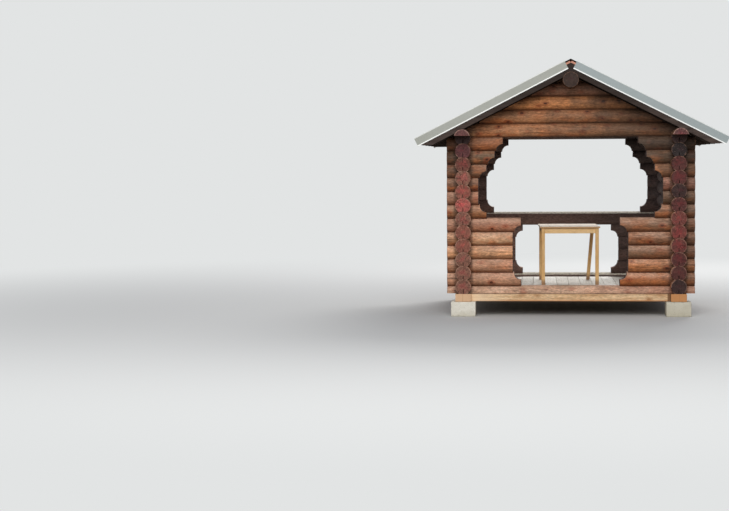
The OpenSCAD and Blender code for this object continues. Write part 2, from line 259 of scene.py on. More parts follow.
class Nodes:
    """Adds nodes to one node tree and links them, so that a finish reads as a list of steps."""

    KINDS = {int: "NodeSocketInt", float: "NodeSocketFloat", tuple: "NodeSocketVector", bool: "NodeSocketBool",
             type(None): "NodeSocketMaterial"}

    def __init__(self, tree: NodeTree) -> None:
        """Keeps the tree that the nodes go to."""
        self.tree = tree

    def feed(self, target: NodeSocket, value: object) -> None:
        """Links a Value to an input, or sets the input's own number, vector or display colour.

        Args:
            target: The input.
            value: What feeds it. None leaves it as it is.
        """
        if isinstance(value, Value):
            self.tree.links.new(value.socket, target)
        elif value is not None:
            target.default_value = linear(value) if target.type == "RGBA" and len(value) == 3 else value

    def add(self, kind: str, values: Inputs = (), **settings: object) -> Node:
        """Adds a node.

        Args:
            kind: The node's type name.
            values: What feeds its inputs, by name or in their order.
            settings: Properties of the node to set.

        Returns:
            The new node.
        """
        node = self.tree.nodes.new(kind)
        for name, value in settings.items():
            setattr(node, name, value)
        named = isinstance(values, dict)
        for target, value in values.items() if named else zip(node.inputs, values):
            self.feed(pick(node.inputs, target) if named else target, value)
        return node

    def wire(self, kind: str, values: Inputs = (), output: str = "", **settings: object) -> Value:
        """Adds a node as add does, and returns its first output in use or the one named."""
        return Value(self, pick(self.add(kind, values, **settings).outputs, output))

    def outputs(self, node: Node) -> dict[str, Value]:
        """A node's outputs by name."""
        return {s.name: Value(self, s) for s in node.outputs if s.name}

    def math(self, operation: str, *values: object, clamp: bool = False) -> Value:
        """Adds a Math node on one to three values."""
        return self.wire("ShaderNodeMath", values, operation=operation, use_clamp=clamp)

    def combine(self, *parts: object) -> Value:
        """Makes a vector of three values."""
        return self.wire("ShaderNodeCombineXYZ", parts)

    def offset(self, *vectors: object) -> Value:
        """Adds two vectors."""
        return self.wire("ShaderNodeVectorMath", vectors, operation="ADD")

    def take(self, takes: dict[str, object]) -> dict[str, Value]:
        """Gives the tree named inputs.

        Args:
            takes: Each input's default by name. Its type tells the socket's kind, and None makes it a material.

        Returns:
            The inputs' values by name.
        """
        for label, default in takes.items():
            socket = self.tree.interface.new_socket(name=label, in_out="INPUT", socket_type=self.KINDS[type(default)])
            if default is not None:
                socket.default_value = default
        return self.outputs(self.add("NodeGroupInput"))

    def give(self, kind: str, **results: Value) -> NodeTree:
        """Ends the tree with named outputs of one kind of socket.

        Args:
            kind: The sockets' type name.
            results: What each output gives, by its name.

        Returns:
            The tree.
        """
        for label in results:
            self.tree.interface.new_socket(name=label, in_out="OUTPUT", socket_type=kind)
        self.add("NodeGroupOutput", results)
        return self.tree


class ShaderNodes(Nodes):
    """Nodes of a material, a world or a shader group."""

    def ease(self, value: Value, low: float, high: float, top: float = 1.0) -> Value:
        """Rises smoothly from 0 to a top value as the input goes from low to high.

        Args:
            value: The input.
            low: Input at which the result is 0. It may be above high, for a result that falls.
            high: Input at which the result is at its top.
            top: The top value.

        Returns:
            The result.
        """
        span = (low, high, 0.0, top) if low < high else (high, low, top, 0.0)
        return self.wire("ShaderNodeMapRange", (value, *span), interpolation_type="SMOOTHSTEP")

    def mix(self, share: object, first: object, second: object, blend: str = "MIX") -> Value:
        """Mixes two colours.

        Args:
            share: How much of the second colour, from 0 to 1.
            first: A colour or Value.
            second: A colour or Value.
            blend: Blender's name of the blending.

        Returns:
            The mixed colour.
        """
        values = {"Factor_Float": share, "A_Color": first, "B_Color": second}
        settings = {"data_type": "RGBA", "blend_type": blend, "clamp_factor": True}
        return self.wire("ShaderNodeMix", values, "Result_Color", **settings)

    def coats(self, colour: object, *coats: tuple[Value, object]) -> Value:
        """Lays coats over a colour in order.

        Args:
            colour: A colour or Value.
            coats: Each coat's share from 0 to 1, and its colour.

        Returns:
            The coated colour.
        """
        for share, tone in coats:
            colour = self.mix(share, colour, tone)
        return colour

    def speckled(self, colour: Value, marks: Value, strength: float) -> Value:
        """Darkens and lightens a colour evenly by small marks from 0 to 1."""
        return self.mix(1.0, colour, marks * strength + (1.0 - 0.5 * strength), "MULTIPLY")

    def relief(self, marks: dict[str, Value], swells: Swells, height: object = 0.0) -> Value:
        """Sums up the heights of a surface's marks.

        Args:
            marks: The marks by name.
            swells: Names of marks, each with its height where it is full.
            height: A height to start from.

        Returns:
            The sum.
        """
        for name, swell in swells:
            height = marks[name] * swell + height
        return height

    def noise(self, vector: Value, scale: object, detail: float = 3.0, rough: float = 0.55,
              twist: float = 0.0) -> Value:
        """Fractal noise from 0 to 1, about 0.5 on average."""
        values = {"Vector": vector, "Scale": scale, "Detail": detail, "Roughness": rough, "Distortion": twist}
        return self.wire("ShaderNodeTexNoise", values)

    def cells(self, vector: Value, scale: float) -> Value:
        """Distance to the nearest of many scattered points."""
        return self.wire("ShaderNodeTexVoronoi", {"Vector": vector, "Scale": scale, "Randomness": 1.0})

    def chance(self, vector: Value, output: str = "Value") -> Value:
        """A random value for each vector, or a random colour where the output is Color."""
        return self.wire("ShaderNodeTexWhiteNoise", {"Vector": vector}, output, noise_dimensions="3D")

    def place(self) -> Value:
        """The point on the object."""
        return self.wire("ShaderNodeTexCoord", output="Object")

    def parts(self, value: Value, kind: str = "XYZ") -> dict[str, Value]:
        """The parts of a vector, or of a colour where the kind is Color, by name."""
        return self.outputs(self.add("ShaderNodeSeparate" + kind, (value,)))

    def facing(self) -> dict[str, Value]:
        """The X, Y and Z of the surface's normal."""
        return self.parts(self.wire("ShaderNodeNewGeometry", output="Normal"))

    def reach(self, first: Value, second: Value) -> Value:
        """How far a point is from the middle, by its two distances square to each other."""
        return self.math("SQRT", first * first + second * second)

    def bands(self, share: Value, names: tuple[Enum, ...]) -> Value:
        """Picks one of some named colours, with hard steps between them.

        Args:
            share: Which colour, as a share from 0 to 1 of the way through them.
            names: The colours.

        Returns:
            The colour.
        """
        node = self.add("ShaderNodeValToRGB", (share,))
        ramp = node.color_ramp
        ramp.interpolation = "CONSTANT"
        while len(ramp.elements) < len(names):
            ramp.elements.new(1.0)
        while len(ramp.elements) > len(names):
            ramp.elements.remove(ramp.elements[-1])
        for number, name in enumerate(names):
            ramp.elements[number].position = number / len(names)
            ramp.elements[number].color = linear(name.value)
        return Value(self, node.outputs[0])

    def group(self, tree: NodeTree, **values: object) -> dict[str, Value]:
        """Places a shared group with its inputs by name, and returns its outputs by name."""
        return self.outputs(self.add("ShaderNodeGroup", values, node_tree=tree))


class ShaderGroup(ShaderNodes):
    """Nodes of a shader group, whose outputs are numbers."""

    def __init__(self, name: str, **takes: object) -> None:
        """Starts the group with named inputs, each with its default."""
        super().__init__(bpy.data.node_groups.new(name, "ShaderNodeTree"))
        self.given = self.take(takes)

    def finish(self, **results: Value) -> NodeTree:
        """Ends the group with named results."""
        return self.give("NodeSocketFloat", **results)


@dataclass(frozen=True)
class Effects:
    """Shader groups that several finishes share, each built once.

    A scale says how fine a noise is, and a wander how far it moves a line. Rings is how fast growth rings follow each
    other. End cracks say how many places they have round the pith, their width, and a number for their luck.
    """

    streaks: Pair = (0.40, 0.66)
    patches: Pair = (0.42, 0.62)
    crack_line: Pair = (0.011, 0.003)
    crack_opened: Pair = (0.50, 0.58)
    knot_scale: float = 6.0
    knot_wander: float = 0.12
    knot_core: Pair = (0.20, 0.14)
    knot_ring: Pair = (0.42, 0.20)
    rings: float = 1500.0
    ring_scale: float = 22.0
    ring_wander: float = 9.0
    blotches: Pair = (0.42, 0.62)
    blotch_scale: float = 26.0
    edge: Pair = (-0.0005, 0.0035)
    edge_wander: float = 0.012
    rim: Pair = (0.43, 0.56)
    rim_scale: float = 13.0
    heart: Pair = (0.245, 0.165)
    heart_scale: float = 15.0
    heart_wander: float = 0.30
    heart_own: float = 0.06
    heart_luck: float = 21.0
    chips: Pair = (0.62, 0.68)
    chip_scale: float = 85.0
    chip_own: Pair = (0.3, 0.8)
    chip_luck: float = 33.0
    end_cracks: tuple[Triple, ...] = ((1.0, 0.0022, 3.0), (3.0, 0.0013, 7.0), (7.0, 0.0007, 11.0))
    end_crack: Pair = (0.05, 0.6)
    end_crack_scale: float = 45.0
    end_crack_wander: float = 0.16
    end_crack_aside: float = 0.6
    end_crack_start: float = 0.75
    end_crack_widening: float = 28.0
    dust_patches: Pair = (0.38, 0.68)
    dust_fineness: float = 14.0

    @cached_property
    def grain(self) -> NodeTree:
        """Wood grain, long with the wood.

        Returns:
            A group that gives broad streaks, fine fibres, patches, small marks and drying cracks.
        """
        nodes = ShaderGroup("Wood grain", Along=0.0, Across=0.0, Up=0.0, Shift=ORIGIN, Stretch=3.2, Fineness=56.0)
        given = nodes.given

        def strands(length: float, width: float, detail: float = 2.0, **kind: float) -> Value:
            """Noise that is stretched along the wood.

            Args:
                length: How fine it is along the wood.
                width: How fine it is across the wood.
                detail: How many finer layers it has.
                kind: How rough and how twisted it is.

            Returns:
                The noise.
            """
            sides = (given[s] * given["Fineness"] * width for s in ("Across", "Up"))
            point = nodes.combine(given["Along"] * given["Stretch"] * length, *sides)
            return nodes.noise(nodes.offset(point, given["Shift"]), 1.0, detail, **kind)

        streaks = strands(length=1.0, width=1.0, detail=4.0, rough=0.62, twist=0.35)
        from_line = abs(strands(length=0.3, width=0.42, detail=3.0) - 0.5)
        opened = nodes.ease(strands(length=0.7, width=0.10, detail=1.0), *self.crack_opened)
        return nodes.finish(
            Streaks=nodes.ease(streaks, *self.streaks), Fibres=strands(length=3.5, width=7.0),
            Patches=nodes.ease(strands(length=1.6, width=0.22), *self.patches),
            Marks=strands(length=8.0, width=1.3, detail=3.0, rough=0.65),
            Cracks=nodes.ease(from_line, *self.crack_line) * opened)

    @cached_property
    def knots(self) -> NodeTree:
        """Knots, stretched along the wood.

        Returns:
            A group that gives each knot's dark core and the wider ring round it.
        """
        nodes = ShaderGroup("Knots", Along=0.0, Across=0.0, Up=0.0, Shift=ORIGIN, Stretch=5.0, Density=7.5)
        given = nodes.given
        sides = (given[s] * given["Density"] for s in ("Across", "Up"))
        point = nodes.offset(nodes.combine(given["Along"] * given["Stretch"], *sides), given["Shift"])
        away = nodes.noise(point, self.knot_scale) * self.knot_wander + nodes.cells(point, 1.0)
        return nodes.finish(Core=nodes.ease(away, *self.knot_core), Ring=nodes.ease(away, *self.knot_ring))

    @cached_property
    def sawn_end(self) -> NodeTree:
        """A log's sawn end, round its pith.

        Returns:
            A group that gives growth rings, drying cracks, the pale rim and edge, the heart, blotches and chips.
        """
        nodes = ShaderGroup("Sawn end", Side=0.0, Rise=0.0, Radius=0.1, Number=0.0, Seed=0.0)
        side, rise, radius, number, seed = nodes.given.values()
        flat = nodes.combine(side, rise, number)
        reach = nodes.reach(side, rise)
        bend = nodes.noise(flat, self.ring_scale, detail=2.0) * self.ring_wander
        rings = nodes.math("SINE", bend + reach * self.rings)
        blotches = nodes.noise(flat, self.blotch_scale, detail=4.0, rough=0.65)
        edge = nodes.ease(blotches * self.edge_wander + (reach - radius), *self.edge)
        rim = edge * nodes.ease(nodes.noise(flat, self.rim_scale, detail=2.0), *self.rim)
        heart_own, chip_own = (nodes.chance(nodes.combine(number, seed, n)) for n in (self.heart_luck, self.chip_luck))
        ragged = heart_own * self.heart_own + (nodes.noise(flat, self.heart_scale) * self.heart_wander + reach)
        chips = nodes.ease(nodes.noise(flat, self.chip_scale, rough=0.65), *self.chips)
        turn = nodes.noise(flat, self.end_crack_scale) * self.end_crack_wander + nodes.math("ARCTAN2", side, rise)
        cracks: object = 0.0
        for places, width, luck in self.end_cracks:
            share = turn * (places / math.tau)
            spot = nodes.combine(nodes.math("FLOOR", share + 0.5), number, seed + luck)
            own = nodes.parts(nodes.chance(spot, "Color"), "Color")
            aside = own["Red"] * self.end_crack_aside - self.end_crack_aside / 2
            away = abs(nodes.math("WRAP", share, 0.5, -0.5) + aside)
            past = reach - own["Green"] * (radius * self.end_crack_start)
            opening = nodes.math("MULTIPLY", past, self.end_crack_widening, clamp=True)
            gap = away * (math.tau / places) * reach / (opening * width + TINY)
            cracks = nodes.math("MAXIMUM", nodes.math("SUBTRACT", 1.0, gap, clamp=True), cracks)
        return nodes.finish(
            Rings=rings * 0.5 + 0.5, Cracks=nodes.ease(cracks, *self.end_crack), Rim=rim, Edge=edge,
            Heart=nodes.ease(ragged, *self.heart), Blotches=nodes.ease(blotches, *self.blotches),
            Flecks=chips * nodes.ease(chip_own, *self.chip_own))

    @cached_property
    def dust(self) -> NodeTree:
        """Dust and stains in soft patches.

        Returns:
            A group that gives coarse patches and fine ones.
        """
        nodes = ShaderGroup("Dust", Point=ORIGIN, Scale=4.0, Shift=ORIGIN)
        scale = nodes.given["Scale"]
        point = nodes.offset(nodes.given["Point"], nodes.given["Shift"])
        coarse = nodes.noise(point, scale, detail=5.0, rough=0.6)
        return nodes.finish(Coarse=nodes.ease(coarse, *self.dust_patches),
                            Fine=nodes.noise(point, scale * self.dust_fineness, rough=0.5))


EFFECTS = Effects()


class MaterialNodes(ShaderNodes):
    """Nodes of a material with one Principled shader."""

    def __init__(self, name: str) -> None:
        """Starts the material.

        Args:
            name: The material's name.
        """
        self.material = bpy.data.materials.new(name)
        self.material.use_nodes = True
        super().__init__(self.material.node_tree)
        self.tree.nodes.clear()
        self.shader = self.add("ShaderNodeBsdfPrincipled")
        self.outlet = self.add("ShaderNodeOutputMaterial", {"Surface": Value(self, self.shader.outputs[0])})

    def finish(self, height: Value | None = None, depth: float = 0.0, **inputs: object) -> Material:
        """Ends the material.

        Args:
            height: The surface's relief, where it has one.
            depth: What a height of 1 stands for, in metres.
            inputs: The shader's inputs by name, with _ for a space.

        Returns:
            The material.
        """
        if height:
            inputs["Normal"] = self.wire("ShaderNodeBump", {"Height": height, "Distance": depth, "Strength": 1.0})
        for name, value in inputs.items():
            self.feed(self.shader.inputs[name.replace("_", " ")], value)
        return self.material


@dataclass(frozen=True)
class LogRow:
    """The logs of one CAD node: where their axes lie, and the stain and end paint of each from the lowest up.

    The wall is how far the axes lie from the middle of the plan, first the lowest axis's level, and the crown height
    how many radii above its axis a log's top turns pale, partly from rubbing and partly a painted highlight. The span
    along the logs lays painted shade towards the right on the right-hand and gable logs, and a red stain on the sills.
    Half logs run on past the wall as a half.
    """

    node: str
    run: Run
    wall: float
    first: float
    stains: tuple[Stain, ...]
    ends: tuple[EndPaint, ...]
    pitch: float = 2 * LOGS.course
    worn: float = 0.0
    rim: float = 0.6
    damp: Span | None = None
    damp_tone: Rgb | None = None
    half: bool = False
    sheltered: bool = False
    inside: Inside = Inside.ENDS


@dataclass(frozen=True)
class LogFinish:
    """Weathered satin stain on round logs, with painted highlights on the crowns, painted shade that is darkest inside
    the room, and painted sawn ends.

    Spans up a log are in radii from its axis, those of a place in metres, and those of a facing in the normal's parts.
    """

    flame: Rgb = (214, 124, 70)
    # Pale crowns: partly sun bleaching, partly a painted highlight from the sky, weaker higher up and under the roof.
    bleached_and_lit: Rgb = (228, 188, 162)
    # Dark gives the grain's dark streaks, and is also painted shade on each log's underside and under the lap of the
    # log above.
    dark: Rgb = (76, 42, 24)
    # Painted shade: under the eaves and the roof, beside the corner logs, and towards the right on the right-hand and
    # gable logs.
    damp: Rgb = (58, 45, 37)
    # Painted light: the room's painted shade turns paler and greyer above rail level, by the openings.
    room_light: Rgb = (190, 178, 180)
    # Pale crowns of the sills and the rear rail: partly rubbing, partly a painted highlight.
    worn: Rgb = (242, 234, 216)
    # Cut is painted shade on the sawn faces at the openings.
    cut: Rgb = (76, 58, 54)
    # Kerf is painted shade on the walls of the slot in each log's underside.
    kerf: Rgb = (30, 20, 17)
    rim: Rgb = (176, 138, 118)
    outline: Rgb = (226, 186, 180)
    fleck: Rgb = (206, 172, 166)
    crack: Rgb = (34, 18, 18)
    heart: Rgba = (1.32, 0.84, 0.98, 1.0)
    blotch: Rgba = (1.6, 1.5, 1.5, 1.0)
    marks: Coats = (
        ("Coarse", 0.40, (128, 110, 88)), ("Streaks", 0.38, dark), ("Fibres", 0.22, dark), ("Cracks", 0.6, crack),
        ("Ring", 0.55, (146, 66, 36)), ("Core", 0.85, (64, 30, 18)))
    end_marks: Coats = (("Rings", 0.10, crack), ("Flecks", 0.62, fleck), ("Rim", 1.0, rim), ("Cracks", 0.65, crack))
    relief: Swells = (
        ("Streaks", -0.35), ("Fibres", 0.45), ("Ring", 0.6), ("Core", -0.5), ("Cracks", -1.5))
    end_relief: float = -3.0
    depth: float = 0.0016
    drift: float = 40.0
    dust_scale: float = 3.4
    flame_up: Span = (0.2, -0.6, 0.38)
    flame_luck: Span = (0.0, 0.8, 1.3)
    flame_least: float = 0.20
    # These spans pale the crowns: partly sun bleaching, partly a painted highlight.
    bleach_and_highlight_up: Pair = (-0.1, 0.80)
    bleach_and_highlight_level: Span = (2.2, 1.2, 0.6)
    bleach_and_highlight_least: float = 0.4
    bleach_and_highlight_spared: float = 0.5
    # Each pair gives how pale the crowns get and where the painted shade on each log's underside starts.
    in_the_open: Pair = (0.52, -0.18)
    under_roof: Pair = (0.15, -0.50)
    # The lap and underside spans lay painted shade.
    lap_up: Span = (0.6, 0.88, 0.45)
    roof_shade: Span = (LOGS.roof_under - 0.15, LOGS.roof_under, 0.42)
    roof_shade_wander: float = 0.05
    underside: Pair = (-0.92, 0.84)
    # The eave and crease spans lay painted shade under the eaves and beside the corner logs.
    eave_level: Span = (1.65, 2.05, 1.0)
    eave_reach: Span = (1.36, 1.46, 0.6)
    crease: Span = (0.140, 0.100, 0.5)
    # Painted shade grows up the walls from these levels, with an uneven edge.
    damp_level: Span = (1.6, 2.2, 0.5)
    damp_wander: float = 0.3
    # The room spans lay painted shade on the logs' inner faces, darker towards the right.
    inward: Span = (0.012, -0.02, 1.0)
    room_edge: float = 0.02
    room_share: float = 0.92
    room_across: Pair = (-1.0, 1.0)
    room_light_level: Span = (1.25, 1.60, 0.16)
    worn_share: float = 0.92
    worn_blur: float = 0.06
    kerf_slack: float = 0.0002
    kerf_facing: float = 0.3
    cut_span: Span = (0.25, 0.8, 1.0)
    paint_span: Span = (0.3, 0.5, 1.0)
    paint_reach: float = LOGS.end - 0.02
    blotch_share: float = 0.6
    outline_share: float = 0.15
    # Share of painted shadow on the eave log's lower end.
    shadow_share: float = 0.8
    far_end: Span = (1.70, 1.74, 1.0)
    flat_edge: Span = (0.014, 0.009, 0.9)
    speckle: float = 2.1
    roughness: float = 0.55
    roughness_inside: float = 0.35
    roughness_streaks: float = 0.14
    gloss: float = 0.25

    def material(self, row: LogRow, seed: int) -> Material:
        """Makes the finish for one row of logs.

        Args:
            row: The logs.
            seed: A number that moves their grain, so that no two rows are alike.

        Returns:
            The material.
        """
        nodes = MaterialNodes(f"Stained logs {row.node}")
        point = nodes.place()
        at = nodes.parts(point)
        along, across, level = at[row.run.value[0]], at[row.run.value[1]], at["Z"]
        reach, side, above = abs(along), abs(across) - row.wall, level - row.first
        number = nodes.math("ROUND", above / row.pitch)
        rise = above - number * row.pitch
        height = rise / LOGS.radius
        share = (above + row.pitch / 2) / (row.pitch * len(row.stains))
        luck = nodes.chance(nodes.combine(number, float(seed), 0.5), "Color")
        shift = nodes.wire("ShaderNodeVectorMath", {"Vector": luck, "Scale": self.drift}, operation="SCALE")
        where = {"Along": along, "Across": across, "Up": level, "Shift": shift}
        marks = {**nodes.group(EFFECTS.grain, **where), **nodes.group(EFFECTS.knots, **where),
                 **nodes.group(EFFECTS.dust, Point=point, Scale=self.dust_scale, Shift=shift)}
        sawn = nodes.group(EFFECTS.sawn_end, Side=side, Rise=rise, Radius=LOGS.radius - LOGS.chamfer, Number=number,
                           Seed=float(seed))

        own = nodes.parts(luck, "Color")["Red"]
        flame = marks["Patches"] * (nodes.ease(height, *self.flame_up) + self.flame_least)
        # Pale crowns, partly sun bleaching and partly a painted highlight, and where each log's painted underside
        # shade starts.
        bleached_and_lit, low = self.under_roof if row.sheltered else self.in_the_open
        bleach_and_highlight = nodes.ease(height, *self.bleach_and_highlight_up, bleached_and_lit) * (1.0 - marks["Patches"] * self.bleach_and_highlight_spared)
        coats = [(flame * nodes.ease(own, *self.flame_luck), self.flame)]
        coats += [(marks[name] * most, tone) for name, most, tone in self.marks]
        coats.append((bleach_and_highlight * (nodes.ease(level, *self.bleach_and_highlight_level) + self.bleach_and_highlight_least), self.bleached_and_lit))
        # Painted shade under the lap of the log above and near the roof.
        if row.sheltered:
            near_roof = reach * math.tan(LOGS.roof_slope) + level
            shade = marks["Coarse"] * self.roof_shade_wander + near_roof
            coats += [(nodes.ease(height, *self.lap_up), self.dark), (nodes.ease(shade, *self.roof_shade), self.damp)]
        # Painted shade on each log's underside.
        coats.append((nodes.ease(height, low, *self.underside), self.dark))
        # Painted shade under the eaves and beside the corner logs.
        if row.run is Run.ALONG_X:
            coats += [(nodes.ease(level, *self.eave_level) * nodes.ease(reach, *self.eave_reach), self.damp),
                      (nodes.ease(abs(reach - LOGS.half_x), *self.crease), self.damp)]
        # Painted shade towards the right on the right-hand and gable logs, more higher up; on the sills a red stain.
        if row.damp:
            shade_and_stain_at = marks["Coarse"] * self.damp_wander + (along + nodes.ease(level, *self.damp_level))
            coats.append((nodes.ease(shade_and_stain_at, *row.damp), row.damp_tone or self.damp))

        # Painted shade inside the room, darker towards the right and paler above rail level.
        inner = nodes.ease(reach, LOGS.half_x, LOGS.half_x - self.room_edge)
        if row.wall:
            inner = nodes.ease(side, *self.inward) * inner
        left_tone, right_tone = row.inside.value
        room = nodes.coats(left_tone, (nodes.ease(at["X"], *self.room_across), right_tone),
                           (nodes.ease(level, *self.room_light_level), self.room_light))
        coats.append((inner * self.room_share, room))
        # Pale crowns: partly rubbing, partly a painted highlight.
        if row.worn:
            ragged_crown = marks["Fibres"] * self.worn_blur + height
            coats.append((nodes.ease(ragged_crown, row.worn, row.worn + self.worn_blur, self.worn_share), self.worn))

        # The cut faces at the openings get painted shade.
        end_on = abs(nodes.facing()[row.run.value[0]])
        # The kerf's walls get painted shade.
        in_kerf = (abs(side) < LOGS.kerf / 2 + self.kerf_slack) * (rise < LOGS.kerf_top) * (end_on < self.kerf_facing)
        painted = nodes.ease(end_on, *self.paint_span) * (reach > self.paint_reach)
        coats += [(nodes.ease(end_on, *self.cut_span), self.cut), (in_kerf, self.kerf),
                  (painted, self.end_paint(nodes, row, share, reach, rise, sawn))]
        colour = nodes.coats(nodes.bands(share, row.stains), *coats)
        roughness = marks["Streaks"] * self.roughness_streaks + self.roughness
        return nodes.finish(nodes.relief(marks, self.relief, sawn["Cracks"] * painted * self.end_relief), self.depth,
                            Base_Color=nodes.speckled(colour, marks["Marks"], self.speckle),
                            Roughness=inner * self.roughness_inside + roughness, Specular_IOR_Level=self.gloss)

    def end_paint(self, nodes: ShaderNodes, row: LogRow, share: Value, reach: Value, rise: Value,
                  sawn: dict[str, Value]) -> Value:
        """Works out the colour of the painted ends.

        Args:
            nodes: The material's nodes.
            row: The logs.
            share: Which log a point lies on, as a share of the row's height.
            reach: Its distance from the middle of the logs' length.
            rise: Its height above its log's axis.
            sawn: The marks on a sawn end.

        Returns:
            The colour.
        """
        paint = nodes.mix(sawn["Heart"], nodes.bands(share, row.ends), self.heart, "MULTIPLY")
        paint = nodes.mix(sawn["Blotches"] * self.blotch_share, paint, self.blotch, "MULTIPLY")
        coats = [(sawn[name] * (row.rim if name == "Rim" else most), tone) for name, most, tone in self.end_marks]
        # The eave log's lower end, under the half log, gets painted shadow.
        if row.half:
            far = nodes.ease(reach, *self.far_end)
            outline = nodes.math("MAXIMUM", sawn["Edge"] * self.outline_share, nodes.ease(rise, *self.flat_edge))
            coats += [(outline * far, self.outline), ((1.0 - far) * self.shadow_share, EndPaint.SOOT.value)]
        return nodes.coats(paint, *coats)


@dataclass(frozen=True)
class Fade:
    """A colour that comes in along one axis, from nothing at the start to its share at the stop."""

    axis: str
    start: float
    stop: float
    colour: Rgb
    share: float = 0.8


@dataclass(frozen=True)
class TimberFinish:
    """Sawn or planed wood whose grain runs one way: beams, boards, rafters and the table.

    Streaks take the contrast as their share and knots their own, of which fibres and rings have a part. Drift is how
    far a seed moves the grain, and tone drift how far a board's own tone does.
    """

    name: str
    face: Rgb
    light: Rgb
    dark: Rgb
    end: Rgb
    roughness: float = 0.6
    gloss: float = 0.4
    contrast: float = 0.5
    marks: float = 0.6
    knots: float = 0.5
    stretch: float = 2.4
    fineness: float = 56.0
    depth: float = 0.0012
    below: Rgb | None = None
    above: Rgb | None = None
    tone: str = ""
    fades: tuple[Fade, ...] = ()
    split: float | None = None
    drift: Triple = (7.31, 3.17, 5.53)
    tone_drift: Triple = (60.0, 37.0, 19.0)
    darker_piece: Span = (0.15, 0.9, 0.45)
    lighter_piece: Span = (0.4, 0.0, 0.35)
    facing_down: Span = (-0.3, -0.6, 0.94)
    facing_up: Span = (0.6, 0.9, 0.6)
    facing_end: Span = (0.6, 0.9, 1.0)
    split_width: Span = (0.0035, 0.001, 0.6)
    split_scale: float = 30.0
    split_wander: float = 0.012
    patch_share: float = 0.6
    fibre_part: float = 0.6
    ring_part: float = 0.6
    end_fibres: float = 0.5
    roughness_streaks: float = 0.12
    relief: Swells = (("Fibres", 0.5), ("Streaks", -0.4), ("Core", -0.4))

    def material(self, run: Run, seed: int, turn: float = 0.0) -> Material:
        """Makes the finish for wood that runs one way.

        Args:
            run: The direction of the grain.
            seed: A number that moves the grain.
            turn: How far the wood is turned about the vertical, in radians.

        Returns:
            The material.
        """
        nodes = MaterialNodes(f"{self.name} {run.name.lower()} {seed}")
        point = nodes.place()
        turned = nodes.wire("ShaderNodeMapping", {"Vector": point, "Rotation": (0.0, 0.0, -turn)}) if turn else point
        at, normal = nodes.parts(turned), nodes.facing()
        along, across, up = (at[axis] for axis in run.value)
        shift: object = tuple(seed * step for step in self.drift)
        pieces = []
        if self.tone:
            piece = nodes.wire("ShaderNodeAttribute", output="Fac", attribute_name=self.tone)
            shift = nodes.offset(nodes.combine(*(piece * step for step in self.tone_drift)), shift)
            pieces = [(nodes.ease(piece, *self.darker_piece), self.dark),
                      (nodes.ease(piece, *self.lighter_piece), self.light)]
        where = {"Along": along, "Across": across, "Up": up, "Shift": shift}
        marks = {**nodes.group(EFFECTS.grain, Stretch=self.stretch, Fineness=self.fineness, **where),
                 **nodes.group(EFFECTS.knots, **where)}

        colour = nodes.coats(
            self.face, (marks["Patches"] * self.patch_share, self.light),
            (marks["Streaks"] * self.contrast, self.dark),
            (marks["Fibres"] * (self.contrast * self.fibre_part), self.dark))
        colour = nodes.speckled(colour, marks["Marks"], self.marks)
        coats = pieces + [(marks["Ring"] * (self.knots * self.ring_part), self.dark),
                          (marks["Core"] * self.knots, self.dark)]
        coats += [(nodes.ease(at[f.axis], f.start, f.stop, f.share), f.colour) for f in self.fades]
        # A tone below paints shade on faces that look down; a tone above is the top faces' own colour.
        coats += [(nodes.ease(normal["Z"], *span), tone) for span, tone in (
            (self.facing_down, self.below), (self.facing_up, self.above)) if tone]
        ends = nodes.mix(marks["Fibres"] * self.end_fibres, self.end, self.dark)
        if self.split is not None:
            off = abs(nodes.noise(point, self.split_scale) * self.split_wander + abs(across) - self.split)
            ends = nodes.mix(nodes.ease(off, *self.split_width), ends, self.dark)
        coats.append((nodes.ease(abs(normal[run.value[0]]), *self.facing_end), ends))
        return nodes.finish(nodes.relief(marks, self.relief), self.depth, Base_Color=nodes.coats(colour, *coats),
                            Roughness=marks["Streaks"] * self.roughness_streaks + self.roughness,
                            Specular_IOR_Level=self.gloss)


@dataclass(frozen=True)
class FoldedEdges:
    """Painted highlights on the edges of a trim on the roof's slope: how far they reach, as heights square to the
    slope.
    """

    slope: float
    ridge: float
    lip: float
    crest: float
    bare: Rgb
    crest_depth: float = 0.004
    crest_share: float = 0.6

    def share(self, nodes: ShaderNodes, edge_noise: Value) -> Value:
        """Works out the share of painted highlight: all of the lip, and an uneven stripe along the crest.

        Args:
            nodes: The material's nodes.
            edge_noise: Noise that makes the highlight's edge uneven.

        Returns:
            The share of painted highlight.
        """
        at = nodes.parts(nodes.place())
        height = abs(at["X"]) * math.sin(self.slope) + (at["Z"] - self.ridge) * math.cos(self.slope)
        uneven = edge_noise * -self.crest_depth + height
        crest = nodes.ease(uneven, self.crest - self.crest_depth, self.crest, self.crest_share)
        return nodes.math("MAXIMUM", height < self.lip, crest)


